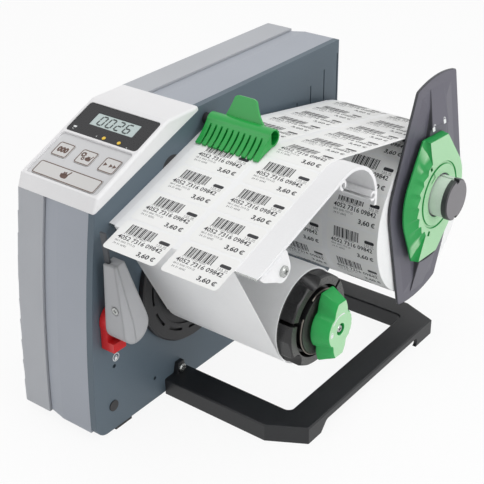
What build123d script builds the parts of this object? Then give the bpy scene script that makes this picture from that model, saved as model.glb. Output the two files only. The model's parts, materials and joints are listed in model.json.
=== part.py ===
from build123d import *
import os
from math import acos, asin, atan2, cos, degrees, hypot, pi, radians, sin, sqrt, tan

os.makedirs("parts", exist_ok=True)

# Desktop label dispenser: a narrow drive housing whose right wall carries everything the
# label web touches. Millimetres. X runs across the machine from the housing to the rolls,
# Y from the dispensing edge to the rear, Z up from the table. Sizes below are measured from
# the housing's left face, its front foot and the table; place() moves the finished pieces
# so that the origin is the middle of the footprint on the table.

# Housing
HOUSING_W = 79.0          # left cover to the outer face of the mounting wall
HOUSING_L = 324.6
HOUSING_H = 235.0
FOOT_H = 7.5              # table to the covers
WALL_FOOT_H = 2.5         # table to the mounting wall
WALL_T = 6.0
SHEET = 3.0               # cover thickness
FRONT_LEAN = 16.2         # how far the front leans back where the bezel starts
BEZEL_DROP = 43.7         # housing's top to the bezel's foot
BEZEL_REAR_Y = 131.8
BEZEL_STEP = 3.0          # depth of the step that the bezel's rear edge fills
SEAM_X = 27.8             # parting line between left cover and centre frame
SEAM_GROOVE = 0.9
BEVEL_W = 15.0            # sloping band beside the seam
BEVEL_D = 1.8
COVER_R = 2.0
POST_R = 5.0
WALL_CORNER_R = 12.0
RIB_PITCH = 20.3          # stepped ribs at the rear of the wall
RIB_COUNT = 5
RIB_W = 1.4
RIB_D = 0.9

# Operator panel
PANEL_Y = 20.0            # lower edge of the sloping panel
PANEL_DROP = 33.0         # housing's top to the panel's lower edge
PANEL_TILT = 23.0
PANEL_RUN = 84.7          # along the slope
BEZEL_GAP = 0.4           # bezel set in from each side of the housing
BEZEL_SKIN = 2.4
BEZEL_WEB = 1.6           # material left under the two pockets
LEDGE_W = 1.4
BEZEL_R = 2.2
RIM_W = 3.2
PANEL_R = 3.2             # corners of the two sunk fields
KEYPAD_SINK = 1.8         # keypad's face below the rim
KEYPAD_V = (2.0, 46.6)
WINDOW_SINK = 0.6
WINDOW_V = (48.6, 80.6)
WINDOW_T = 1.8
LCD_W = 43.5
LCD_H = 12.6
LCD_OFFSET = 0.5          # from the panel's middle
LCD_V = 66.6
LAMP_R = 1.5
LAMP_V = 51.8
LAMP_OFFSETS = (1.5, 16.5)
KEY_W = 15.4
KEY_H = 14.0
KEY_LEFT = 9.1            # cover's side to the first key
KEY_RIGHT = 7.3           # and from the third key to the other side
KEY_V = 31.0
WIDE_KEY_SIDE = 8.2
WIDE_KEY_H = 13.2
WIDE_KEY_V = 10.4
KEY_R = 2.2
KEY_GAP = 0.3
KEY_PROUD = 0.5
KEY_TRAVEL = 0.5
KEY_T = 1.9
KEYPAD_T = 1.4
STEM_R = 2.0
BOARD_T = 1.6
BOARD_D = 13.0            # board's top below the panel's face
SWITCH_W = 6.0
SWITCH_H = 4.2
BOARD_POST_R = 1.9
BOARD_POST_SIDE = 10.5
BOARD_POST_V = (20.8, 44.6)

# Dispensing plate, one extrusion with a curved nose at the rear
EDGE_Y = 29.5
EDGE_DROP = 55.2          # housing's top to the dispensing edge
PLATE_SLOPE = 18.5
PLATE_RUN = 108.0         # dispensing edge to the start of the nose
PLATE_W = 131.6
PLATE_T = 3.0
EDGE_T = 1.2              # plate's thickness at the edge
EDGE_TAPER = 8.0
NOSE_R = 35.5
NOSE_END = -12.0          # degrees, where the nose's arc stops
CHANNEL_R = 2.1
CHANNEL_WALL = 1.9
CHANNEL_ANGLES = (114.0, 4.0)   # screw channels under the nose
STRIP_T = 0.8
STRIP_TIP = 0.5
STRIP_D = 7.0
BRACKET_T = 2.0
BRACKET_R = 8.6
BRACKET_ALONG = 23.5      # screw's place along the plate from the edge
BRACKET_DROP = 14.0       # and below the plate's top face

# Label web
WEB_INSET = 6.3           # wall to the liner's left edge
WEB_W = 107.4
WEB_T = 0.3
LABEL_T = 0.12
LABEL_W = 48.4
LABEL_MARGIN = 0.4        # labels' right edge inside the liner's
LABEL_L = 29.4
LABEL_R = 3.0
LABEL_PITCH_X = 53.6
LABEL_PITCH = 31.6
LABEL_COLUMNS = 2
LABEL_OVERHANG = 21.0     # how far the row in front stands past the edge
WEB_GAP = 0.02

# Supply: fixed tube, paper core that hangs on it, wound labels
SUPPLY_REAR = 39.6        # housing's rear to the tube's axis
SUPPLY_DROP = 97.5        # and the housing's top to it
TUBE_R = 17.6
TUBE_WALL = 2.6
TUBE_L = 140.0            # tube's length outside the wall
TUBE_SLOT_W = 2.0
TUBE_SLOT_D = 1.2
CAP_R = 18.0
CAP_T = 5.0
CAP_NOTCH_W = 4.4
CAP_NOTCH_D = 3.0
BOSS_R = 30.0
BOSS_T = 5.0
CORE_IN_R = 38.0
CORE_WALL = 3.2
ROLL_R = 72.0
HANG_GAP = 0.3

# Guide flange and its locking ring
FLANGE_GAP = 0.7
FLANGE_SKIN = 2.2
FLANGE_RAISE = 1.6        # blade's middle above the tube's axis
FLANGE_LEAN = 3.5         # degrees, blade and ring turned about the tube
FLANGE_END_HALF_W = 30.5
FLANGE_HIGH = 97.7        # each end is higher at its leading corner
FLANGE_LOW = 91.8
FLANGE_CROWN = 99.5
FLANGE_BEND = 60.5        # half width where the sides bend
FLANGE_BEND_R = 45.0
FLANGE_CORNER_R = 4.0
RIM_BAND = 9.5            # flat band round the blade
DOME_RUN = 12.0           # width of the slope inside the band
DOME_RISE = 2.0
KEEL_HALF_W = 17.0
KEEL_TIP_HALF_W = 10.5
KEEL_FOOT = 55.0          # distance from the axis where the ramp is full height
KEEL_RISE = 8.0
KEEL_END = 92.0
NECK_R = 34.0             # seat that carries the ring clear of the blade
NECK_H = 7.4
SLEEVE_R = 23.5
BORE_GAP = 0.6            # flange bore round the tube and its cap
RING_T = 7.0
RING_BASE_T = 1.2
RING_BASE_R = 48.5
RING_BASE_RIGHT_R = 43.0
RING_FACE_R = 37.0
RING_FACE_RIGHT_R = 39.5
RING_LOBE = (-27.0, 5.3, 54.0)      # lobe's two corners in Y, and their height
RING_LOBE_FACE = (-26.2, 4.6, 53.2)
RING_DENT_COUNT = 8
RING_DENT_R = 5.4
RING_DENT_PITCH = 14.5
RING_SLOT = (4.8, 2.8)
RING_DISH_R = 29.0
RING_DISH_D = 1.8
RING_LIP = 2.2            # lip on the sleeve that keeps the ring on
PIVOT_GAP = 0.06          # radial clearance of shafts and hinge pins

# Rewinder
REWIND_Y = 113.0
REWIND_Z = 102.0
DISC_R = 58.5
DISC_T = 5.2
DISC_GAP = 0.5
DISC_SLOTS = 12
DISC_SLOT_R = 48.5
DISC_SLOT_W = 2.2
DISC_SLOT_SPAN = 20.0
HUB_R = 36.2
HUB_WALL = 7.6
HUB_L = 125.5             # wall to the segments' front
HUB_CHAMFER = 1.6
HUB_FLAT_COUNT = 15
HUB_SPLITS = 3
HUB_PHASE = 99.0          # degrees, middle of the first segment
SPLIT_W = 3.0
NOTCH_R = 8.2
NOTCH_LIFT = 2.4          # notch's axis outside the hub at its front
NOTCH_SLOPE = 26.0
SEGMENT_TRAVEL = 1.3
CARRIER_GAP = 2.0
LUG_W = 8.0
LUG_L = 16.0
LUG_DEPTH = 6.0
LUG_GAP = 0.3
LUG_PLACES = (29.0, 99.0)         # from the wall
LINER_GAP = 0.3
LINER_WOUND = 1.2
SHAFT_R = 6.0
SHAFT_IN = 40.0           # shaft's length inside the housing
CARRIER_SHORT = 5.5       # drum's end behind the segments' front
CLIP_R = 25.4
CLIP_WIRE_R = 0.8
CLIP_OPENING = 34.0
CLIP_TURN = 150.0
KNOB_GAP = 5.5            # segments' front to the knob
KNOB_T = 14.0
KNOB_SKIRT = 1.6
KNOB_COLLAR_R = 13.0
KNOB_BASE_R = 18.6
KNOB_FACE_R = 15.4
KNOB_LOBE = (7.0, 28.0)   # half width and height of a lobe at the base
KNOB_LOBE_FACE = (5.0, 22.8)
KNOB_TURN = -3.0
KNOB_DENT_COUNT = 3
KNOB_DENT_R = 2.4
KNOB_RECESS = 3.2
SCREW_HEAD_R = 3.4
SCREW_HEAD_T = 2.6
SCREW_CLEAR = 1.6
BEARING_R = 13.0
BEARING_W = 8.0
BEARING_BOSS_R = 18.0
BEARING_BOSS_L = 25.0

# Drive inside the housing
MOTOR_Y = 196.0
MOTOR_Z = 84.0
MOTOR_R = 27.0
MOTOR_L = 26.0
MOTOR_SHAFT_R = 4.0
BELT_PITCH = 5.0
REWIND_TEETH = 36
MOTOR_TEETH = 12
BELT_W = 9.0
BELT_T = 1.6
TOOTH_D = 1.2
BELT_GAP = 0.3
PULLEY_FLANGE = 1.4

# Web brake comb
COMB_SHIFT = 3.2          # tube's axis in front of the nose's axis
COMB_R = 6.7
COMB_INSET = 6.0          # wall to the comb
COMB_W = 58.6
COMB_BORE_R = 4.4
COMB_GAP = 0.35
COMB_FINGERS = 11
COMB_SLOT_W = 1.7
COMB_REACH = 20.0
COMB_TIP_T = 1.5
COMB_SHAFT_L = 46.0
TAB_H = 15.8              # above the tube
TAB_FOOT_HALF_W = 19.0
TAB_MID_HALF_W = 13.0
TAB_TOP_HALF_W = 9.8
TAB_FLARE = 8.0
TAB_T = 2.0
TAB_LEAN = 0.3
TAB_BACK = 3.4            # behind the tube's axis
TAB_SHIFT = 27.0          # comb's left end to the tab's middle

# Sensor arm on the wall with its locking lever
ARM_Y = 24.5
ARM_DROP = 76.3           # dispensing edge to the arm's pivot
ARM_LEAN = 6.0
ARM_R = 13.0
ARM_H = 53.0
ARM_TOP_HALF_D = 5.2
ARM_W = 18.0
ARM_TOP_W = 11.0
ARM_SCREW_H = 0.34        # share of the arm's height
ARM_HUB_R = 9.0
ARM_SEAM = -2.0
ARM_PIN_R = 3.5
LEAF_W = 5.0
LEAF_INSET = 5.9          # wall to the leaf
LEAF_T = 1.5
LEAF_H = 25.0
LEAF_SLOT_D = 8.0
LEVER_RING_T = 6.4
LEVER_RING_R = 13.0
LEVER_DROP = 21.5
LEVER_W = 12.4
LEVER_D = 13.0

# Base frame
BASE_TOP_Z = 14.8
BASE_W = 130.5            # wall to the frame's outer side
BASE_FRONT_Y = 79.2
BASE_REAR_INSET = 27.3    # housing's rear to the frame's rear side
BASE_CHAMFER_X = 30.0
BASE_CHAMFER_Y = 16.8
BASE_REAR_CHAMFER_Y = 11.2
BASE_LEG_W = 26.4
BASE_REAR_LEG_W = 22.0
BASE_BAR_W = 24.5
BASE_INNER_R = 5.0
BASE_WALL = 3.2
ARCH_Z = 8.6
ARCH_MARGIN = 33.0
ARCH_R = 5.0
LUG_H = 9.5
LUG_T = 4.0
LUG_HALF_W = 6.5
BASE_SCREW_Z = 18.8

# Rear panel
INLET_SIDE = 15.5         # wall's inner face to the inlet's middle
INLET_Z = 44.0
INLET_W = 27.0
INLET_H = 20.0
INLET_FLANGE = 3.0
INLET_D = 16.0
ROCKER_W = 12.0
ROCKER_H = 19.0
ROCKER_RISE = 32.0
ROCKER_R = 12.0
ROCKER_THROW = 8.0

# Power supply board
PSU_L = 70.0
PSU_H = 90.0
PSU_REAR = 18.6           # housing's rear to the board
PSU_TOP = 29.0            # housing's top to the board
PSU_STAND = 8.4           # board's distance from the wall
PSU_BOARD_T = 1.6
PSU_POST_INSET = 5.0
PSU_POST_R = 3.0
COIL = (24.0, 34.0, 30.0)         # depth, length and height of the transformer
SINK = (16.0, 50.0, 18.0)
SINK_FIN_PITCH = 8.0
SINK_T = 1.6

# Small wall fittings
PLUG_Y = 20.0
PLUG_Z = 24.3
PLUG_R = 4.6
WINDOW_PLUG_Y = 99.0
WINDOW_PLUG_DROP = 39.0   # below the housing's top
WINDOW_PLUG_R = 11.0
PLUG_PROUD = 0.8
HOLE_R = 1.7
SMALL_HOLES = ((23.9, 58.9), (67.6, 22.2))
FOOT_R = 7.0

# Places worked out from the sizes above
WALL_OUT = HOUSING_W
WALL_IN = HOUSING_W - WALL_T
BEZEL_FOOT_Z = HOUSING_H - BEZEL_DROP
PANEL_Z = HOUSING_H - PANEL_DROP
EDGE_Z = HOUSING_H - EDGE_DROP
SUPPLY_Y = HOUSING_L - SUPPLY_REAR
SUPPLY_Z = HOUSING_H - SUPPLY_DROP
ARM_Z = EDGE_Z - ARM_DROP
BASE_REAR_Y = HOUSING_L - BASE_REAR_INSET
WINDOW_PLUG_Z = HOUSING_H - WINDOW_PLUG_DROP
KEY_X = KEY_LEFT + KEY_W / 2
KEY_PITCH = (HOUSING_W - KEY_LEFT - KEY_RIGHT - KEY_W) / 2
WIDE_KEY_W = HOUSING_W - 2 * WIDE_KEY_SIDE
LCD_X = HOUSING_W / 2 + LCD_OFFSET
LAMP_X = [HOUSING_W / 2 + offset_x for offset_x in LAMP_OFFSETS]
BOARD_POST_X = HOUSING_W / 2 - BOARD_POST_SIDE
INLET_X = WALL_IN - INLET_SIDE
WEB_X = WALL_OUT + WEB_INSET
TUBE_END_X = WALL_OUT + TUBE_L
BASE_OUT_X = WALL_OUT + BASE_W
COMB_X = WALL_OUT + COMB_INSET
TAB_X = COMB_X + TAB_SHIFT
LEAF_X = WALL_OUT + LEAF_INSET
SHAFT_START_X = WALL_IN - SHAFT_IN
TILT = radians(PANEL_TILT)
SLOPE = radians(PLATE_SLOPE)
PANEL = Plane(origin=(0, PANEL_Y, PANEL_Z), x_dir=(1, 0, 0), z_dir=(0, -sin(TILT), cos(TILT)))
PANEL_TOP = (PANEL_Y + PANEL_RUN * cos(TILT), PANEL_Z + PANEL_RUN * sin(TILT))
NOSE_Y = EDGE_Y + PLATE_RUN * cos(SLOPE) + NOSE_R * sin(SLOPE)
NOSE_Z = EDGE_Z + PLATE_RUN * sin(SLOPE) - NOSE_R * cos(SLOPE)
PLATE = Plane(origin=(0, EDGE_Y, EDGE_Z), x_dir=(1, 0, 0), z_dir=(0, -sin(SLOPE), cos(SLOPE)))
PLATE_END = WALL_OUT + PLATE_W
ROLL_Y = SUPPLY_Y
ROLL_Z = SUPPLY_Z - (CORE_IN_R - TUBE_R - HANG_GAP)
WEB_END = WEB_X + WEB_W
FLANGE_X = WEB_END + FLANGE_GAP
RING_X = FLANGE_X + NECK_H + 0.2
RING_REACH = hypot(RING_LOBE[0], RING_LOBE[2])
HUB_IN_R = HUB_R - HUB_WALL
CARRIER_R = HUB_IN_R - CARRIER_GAP
LINER_IN_R = HUB_R + LINER_GAP
LINER_OUT_R = LINER_IN_R + LINER_WOUND
DISC_X = WALL_OUT + DISC_GAP
HUB_END_X = WALL_OUT + HUB_L
CARRIER_END_X = HUB_END_X - CARRIER_SHORT
CLIP_X = HUB_END_X + CLIP_WIRE_R + 0.6
CLIP_SEAT_X = CLIP_X + CLIP_WIRE_R + 0.4
KNOB_X = HUB_END_X + KNOB_GAP
LUG_X = [WALL_OUT + place_x for place_x in LUG_PLACES]
REWIND_PULLEY_R = REWIND_TEETH * BELT_PITCH / (2 * pi)
MOTOR_PULLEY_R = MOTOR_TEETH * BELT_PITCH / (2 * pi)
BELT_X = SHAFT_START_X + PULLEY_FLANGE
COMB_Y = NOSE_Y - COMB_SHIFT
COMB_Z = NOSE_Z + sqrt((NOSE_R + WEB_T + LABEL_T + COMB_GAP + COMB_R) ** 2 - COMB_SHIFT ** 2)
PIVOT_X = WALL_OUT + 0.6
ARM_X = PIVOT_X + LEVER_RING_T + 0.2
WINDOW_POCKET = WINDOW_SINK + WINDOW_T
KEYPAD_POCKET = KEYPAD_SINK + KEYPAD_T


def slab(sketch, x0, x1):
    """Extrude a sketch drawn in Y and Z from one X to another."""
    return extrude(Plane.YZ.offset(x0) * sketch, amount=x1 - x0)


def rod(y, z, r, x0, x1):
    """Cylinder along X."""
    return slab(Pos(y, z) * Circle(r), x0, x1)


def tube(y, z, r_in, r_out, x0, x1):
    """Hollow cylinder along X."""
    return rod(y, z, r_out, x0, x1) - rod(y, z, r_in, x0 - 1, x1 + 1)


def face_of(*points):
    """Closed face through points in the sketch plane."""
    return make_face(Polyline(*points, close=True))


def block(x0, x1, y0, y1, z0, z1):
    """Box from its six limits."""
    return Pos(x0, y0, z0) * Box(x1 - x0, y1 - y0, z1 - z0, align=(Align.MIN,) * 3)


def on_panel(sketch, depth_top, depth_bottom):
    """Extrude a sketch on the operator panel between two depths below its face."""
    return extrude(PANEL.offset(-depth_bottom) * sketch, amount=depth_bottom - depth_top)


def turned(shape, y, z, angle):
    """Turn a shape about the X line through y and z."""
    return Pos(0, y, z) * Rot(angle, 0, 0) * Pos(0, -y, -z) * shape


def front_y(z):
    """Front face of the covers at a height: a long arc that leans back."""
    return FRONT_LEAN * (z / BEZEL_FOOT_Z) ** 2


def housing_face(foot):
    """Side outline of the housing, down to a foot height."""
    middle = (foot + BEZEL_FOOT_Z) / 2
    front = ThreePointArc(
        (front_y(foot), foot), (front_y(middle), middle), (FRONT_LEAN, BEZEL_FOOT_Z)
    )
    rest = Polyline(
        (FRONT_LEAN, BEZEL_FOOT_Z),
        (BEZEL_REAR_Y, HOUSING_H - BEZEL_STEP),
        (BEZEL_REAR_Y, HOUSING_H),
        (HOUSING_L, HOUSING_H),
        (HOUSING_L, foot),
        (front_y(foot), foot),
    )
    return make_face([front, rest])


def inset(face, amount):
    """Shrink a face by an amount with sharp corners."""
    return offset(face, -amount, kind=Kind.INTERSECTION)


def panel_field():
    """Outline of the space under the panel for the board and its keys."""
    return Pos(HOUSING_W / 2, PANEL_RUN / 2) * Rectangle(HOUSING_W - 16, PANEL_RUN - 10)


def panel_opening():
    """Hole through the covers under the bezel."""
    return on_panel(panel_field(), 0, BOARD_D + 16)


def rear_cutout():
    """Hole in the rear wall for the inlet and the switch."""
    inlet = Pos(INLET_X, INLET_Z) * Rectangle(INLET_W, INLET_H)
    rocker = Pos(INLET_X, INLET_Z + ROCKER_RISE) * Rectangle(ROCKER_W + 4, ROCKER_H + 4)
    plane = Plane(origin=(0, HOUSING_L + 1, 0), x_dir=(1, 0, 0), z_dir=(0, -1, 0))
    return extrude(plane * (inlet + rocker), amount=SHEET + 4)


def cover_bosses(x0, x1, r):
    """Corner posts that the cover screws go into, standing against the covers' edges."""
    edge = BEVEL_D + SHEET + POST_R - 2
    low, high, rear = FOOT_H + edge, HOUSING_H - edge, HOUSING_L - edge
    places = ((edge, low), (rear, low), (rear, high), (BEZEL_REAR_Y + edge, high))
    return [rod(y, z, r, x0, x1) for y, z in places]


def left_cover():
    """Tray that closes the housing on its left."""
    outline = housing_face(FOOT_H)
    body = slab(outline, 0, SEAM_X)
    body = fillet(body.faces().sort_by(Axis.X)[0].edges(), COVER_R)
    body -= slab(inset(outline, SHEET), SHEET, SEAM_X + 1)
    posts = cover_bosses(SHEET - 0.5, SEAM_X, POST_R)
    for post, hole in zip(posts, cover_bosses(-1, SEAM_X + 1, 2.0)):
        body = body + post - hole
    for sink in cover_bosses(-1, 2.2, 4.2):
        body -= sink
    return body - panel_opening()


def center_frame():
    """Band between the left cover and the wall, with the sloping strip beside the seam."""
    outline = housing_face(FOOT_H)
    start = SEAM_X + SEAM_GROOVE
    low = Plane.YZ.offset(start) * inset(outline, BEVEL_D)
    high = Plane.YZ.offset(SEAM_X + BEVEL_W) * outline
    band = slab(inset(outline, BEVEL_D + SEAM_GROOVE), SEAM_X, start)
    band += loft([low, high], ruled=True)
    band += slab(outline, SEAM_X + BEVEL_W, WALL_IN)
    band -= slab(inset(outline, BEVEL_D + SHEET), SEAM_X - 1, WALL_IN + 1)
    for post, hole in zip(cover_bosses(SEAM_X, WALL_IN, POST_R), cover_bosses(SEAM_X - 1, HOUSING_W, 2.0)):
        band = band + post - hole
    return band - panel_opening() - rear_cutout()


def side_wall():
    """Cast mounting wall that carries the plate, both rolls and the drive."""
    outline = housing_face(WALL_FOOT_H)
    body = slab(outline, WALL_IN, WALL_OUT)
    corners = body.edges().filter_by(Axis.X).sort_by(Axis.Z)[:2]
    body = fillet(corners, WALL_CORNER_R)
    body += rod(REWIND_Y, REWIND_Z, BEARING_BOSS_R, WALL_IN - BEARING_BOSS_L, WALL_IN)
    for k in range(RIB_COUNT):
        y = HOUSING_L - 1.5 - k * RIB_PITCH
        top = HOUSING_H - 12 - 9.0 * k
        body -= block(WALL_OUT - RIB_D, WALL_OUT + 1, y - RIB_W, y, WALL_FOOT_H + 20, top)
    body -= rod(REWIND_Y, REWIND_Z, BEARING_R, WALL_OUT - BEARING_W, WALL_OUT + 1)
    body -= rod(REWIND_Y, REWIND_Z, BEARING_R - 2, WALL_IN - BEARING_BOSS_L - 1, WALL_OUT)
    back = WALL_IN - BEARING_BOSS_L
    body -= rod(REWIND_Y, REWIND_Z, BEARING_R, back - 1, back + BEARING_W)
    body -= rod(MOTOR_Y, MOTOR_Z, MOTOR_SHAFT_R + 6, WALL_IN - 1, WALL_IN + 3)
    body -= rod(ARM_Y, ARM_Z, ARM_PIN_R, WALL_IN - 1, WALL_OUT + 1)
    body -= rod(COMB_Y, COMB_Z, COMB_BORE_R, WALL_IN - 1, WALL_OUT + 1)
    body -= rod(SUPPLY_Y, SUPPLY_Z, 8, WALL_IN - 1, WALL_OUT + 1)
    body -= rod(PLUG_Y, PLUG_Z, PLUG_R - 1, WALL_IN - 1, WALL_OUT + 1)
    body -= rod(WINDOW_PLUG_Y, WINDOW_PLUG_Z, WINDOW_PLUG_R, WALL_IN - 1, WALL_OUT + 1)
    for y, z in SMALL_HOLES:
        body -= rod(y, z, HOLE_R, WALL_IN - 1, WALL_OUT + 1)
    for y, z in channel_centres():
        body -= rod(y, z, CHANNEL_R, WALL_IN - 1, WALL_OUT + 1)
    for y in lug_places():
        body -= rod(y, BASE_SCREW_Z, 2.0, WALL_IN - 1, WALL_OUT + 1)
    for hole in cover_bosses(WALL_IN - 1, WALL_OUT - 2, 2.0):
        body -= hole
    return body


def wall_plugs():
    """Two press-in caps in the wall, the large one flush."""
    small = rod(PLUG_Y, PLUG_Z, PLUG_R, WALL_OUT, WALL_OUT + PLUG_PROUD)
    small += rod(PLUG_Y, PLUG_Z, PLUG_R - 1, WALL_IN, WALL_OUT)
    large = rod(WINDOW_PLUG_Y, WINDOW_PLUG_Z, WINDOW_PLUG_R, WALL_IN, WALL_OUT)
    return [small, large - rod(WINDOW_PLUG_Y, WINDOW_PLUG_Z, WINDOW_PLUG_R - 2, WALL_IN - 1, WALL_OUT - 2)]


def rubber_feet():
    """Round feet under the covers and flat pads under the wall."""
    x = SEAM_X / 2
    feet = [Pos(x, y, 0) * Cylinder(FOOT_R, FOOT_H, align=(Align.CENTER, Align.CENTER, Align.MIN))
            for y in (26, HOUSING_L - 26)]
    middle = (WALL_IN + WALL_OUT) / 2
    for y in (30, HOUSING_L - 30):
        feet.append(block(middle - 2.6, middle + 2.6, y - 9, y + 9, 0, WALL_FOOT_H))
    return feet


def bezel_face():
    """Side outline of the bezel: front lip, sloping panel and flat top."""
    top_z = PANEL_TOP[1]
    return face_of(
        (FRONT_LEAN - 0.4, BEZEL_FOOT_Z),
        (PANEL_Y, PANEL_Z),
        PANEL_TOP,
        (BEZEL_REAR_Y, top_z),
        (BEZEL_REAR_Y, HOUSING_H - BEZEL_STEP),
        (FRONT_LEAN, BEZEL_FOOT_Z),
    )


def window_sketch(margin):
    """Outline of the display window on the panel."""
    low, high = WINDOW_V
    width = HOUSING_W - 2 * BEZEL_GAP - 2 * RIM_W
    centre = Pos(HOUSING_W / 2, (low + high) / 2)
    return centre * RectangleRounded(width - 2 * margin, high - low - 2 * margin, PANEL_R - margin)


def keypad_sketch(margin):
    """Outline of the sunk keypad field on the panel."""
    low, high = KEYPAD_V
    width = HOUSING_W - 2 * BEZEL_GAP - 2 * RIM_W
    centre = Pos(HOUSING_W / 2, (low + high) / 2)
    return centre * RectangleRounded(width - 2 * margin, high - low - 2 * margin, PANEL_R - margin)


def key_holes():
    """Outline of the opening round each key."""
    holes = []
    for x, v, w, h in key_places():
        holes.append(Pos(x, v) * RectangleRounded(w + 2 * KEY_GAP, h + 2 * KEY_GAP, KEY_R + KEY_GAP))
    return holes


def key_places():
    """Panel centre and size of each key, in the order of its node."""
    row = [(KEY_X + k * KEY_PITCH, KEY_V, KEY_W, KEY_H) for k in range(3)]
    return row + [(HOUSING_W / 2 - 0.6, WIDE_KEY_V, WIDE_KEY_W, WIDE_KEY_H)]


def panel_bezel():
    """Moulded bezel with a raised rim, a display pocket and a deeper keypad pocket."""
    body = slab(bezel_face(), BEZEL_GAP, HOUSING_W - BEZEL_GAP)
    sides = [e for e in body.edges() if min(e.center().X, HOUSING_W - e.center().X) < 1]
    above = [e for e in sides if e.center().Z > bezel_chord(e.center().Y) + 3]
    body = fillet(above, BEZEL_R)
    body -= slab(inset(bezel_face(), BEZEL_SKIN), BEZEL_GAP + BEZEL_SKIN, HOUSING_W - BEZEL_GAP - BEZEL_SKIN)
    back = Pos(HOUSING_W / 2, PANEL_RUN / 2) * Rectangle(HOUSING_W - 4, PANEL_RUN - 3)
    body += on_panel(back, BEZEL_SKIN - 1, KEYPAD_POCKET + BEZEL_WEB)
    body -= on_panel(panel_field(), KEYPAD_POCKET + BEZEL_WEB, BOARD_D + 16)
    body -= on_panel(window_sketch(0), -3, WINDOW_POCKET)
    body -= on_panel(keypad_sketch(0), -3, KEYPAD_POCKET)
    body -= on_panel(window_sketch(LEDGE_W), -1, KEYPAD_POCKET + BEZEL_WEB + 1)
    for hole in key_holes():
        body -= on_panel(hole, -1, KEYPAD_POCKET + BEZEL_WEB + 1)
    for side in (-1, 1):
        for v in BOARD_POST_V:
            post = Pos(HOUSING_W / 2 + side * BOARD_POST_X, v) * Circle(BOARD_POST_R)
            body += on_panel(post, KEYPAD_POCKET + 0.5, BOARD_D)
    return body


def bezel_chord(y):
    """Height of the parting line under the bezel at a Y."""
    share = (y - FRONT_LEAN) / (BEZEL_REAR_Y - FRONT_LEAN)
    return BEZEL_FOOT_Z + share * (HOUSING_H - BEZEL_STEP - BEZEL_FOOT_Z)


def keypad_plate():
    """Inset plate with an opening for each key."""
    body = on_panel(keypad_sketch(0.1), KEYPAD_SINK, KEYPAD_POCKET)
    for hole in key_holes():
        body -= on_panel(hole, 0, KEYPAD_POCKET + 1)
    return body


def key_cap(k):
    """One key with the stem that presses its switch."""
    x, v, w, h = key_places()[k]
    top = KEYPAD_SINK - KEY_PROUD
    cap = on_panel(Pos(x, v) * RectangleRounded(w, h, KEY_R), top, top + KEY_T)
    stem_end = BOARD_D - SWITCH_H - KEY_TRAVEL - 0.1
    return cap + on_panel(Pos(x, v) * Circle(STEM_R), top + KEY_T - 0.1, stem_end)


def display_window():
    """Dark window with an aperture for the display and holes for the lamps."""
    body = on_panel(window_sketch(0.1), WINDOW_SINK, WINDOW_POCKET)
    body -= on_panel(lcd_sketch(0.1), -1, WINDOW_POCKET + 1)
    for x in LAMP_X:
        body -= on_panel(Pos(x, LAMP_V) * Circle(LAMP_R), -1, WINDOW_POCKET + 1)
    return body


def lcd_sketch(grow):
    """Outline of the display glass."""
    return Pos(LCD_X, LCD_V) * RectangleRounded(LCD_W + 2 * grow, LCD_H + 2 * grow, 0.8)


def lcd_panel():
    """Display glass in the window's aperture, on its holder over the board."""
    glass = on_panel(lcd_sketch(0), WINDOW_SINK + 0.4, WINDOW_POCKET)
    holder = Pos(LCD_X, LCD_V) * Rectangle(LCD_W + 6, LCD_H + 5)
    return glass + on_panel(holder, WINDOW_POCKET, BOARD_D)


def indicator_lamps():
    """Two lamps that stand on the board."""
    return [on_panel(Pos(x, LAMP_V) * Circle(LAMP_R), WINDOW_SINK - 0.3, BOARD_D) for x in LAMP_X]


def control_board():
    """Circuit board under the panel with one switch below each key."""
    centre = Pos(HOUSING_W / 2, PANEL_RUN / 2)
    body = on_panel(centre * Rectangle(HOUSING_W - 18, PANEL_RUN - 12), BOARD_D, BOARD_D + BOARD_T)
    for x, v, w, h in key_places():
        body += on_panel(Pos(x, v) * Rectangle(SWITCH_W, SWITCH_W), BOARD_D - SWITCH_H, BOARD_D + 0.1)
    chip = Pos(HOUSING_W / 2, PANEL_RUN * 0.62) * Rectangle(16, 12)
    return body + on_panel(chip, BOARD_D + BOARD_T - 0.1, BOARD_D + BOARD_T + 3)


def channel_centres():
    """Screw channels of the plate: one near the edge, two under the nose."""
    front = PLATE.from_local_coords((0, BRACKET_ALONG, -BRACKET_DROP))
    inner = NOSE_R - PLATE_T - CHANNEL_R - 0.6
    places = [(front.Y, front.Z)]
    for angle in CHANNEL_ANGLES:
        a = radians(angle)
        places.append((NOSE_Y + inner * cos(a), NOSE_Z + inner * sin(a)))
    return places


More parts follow.
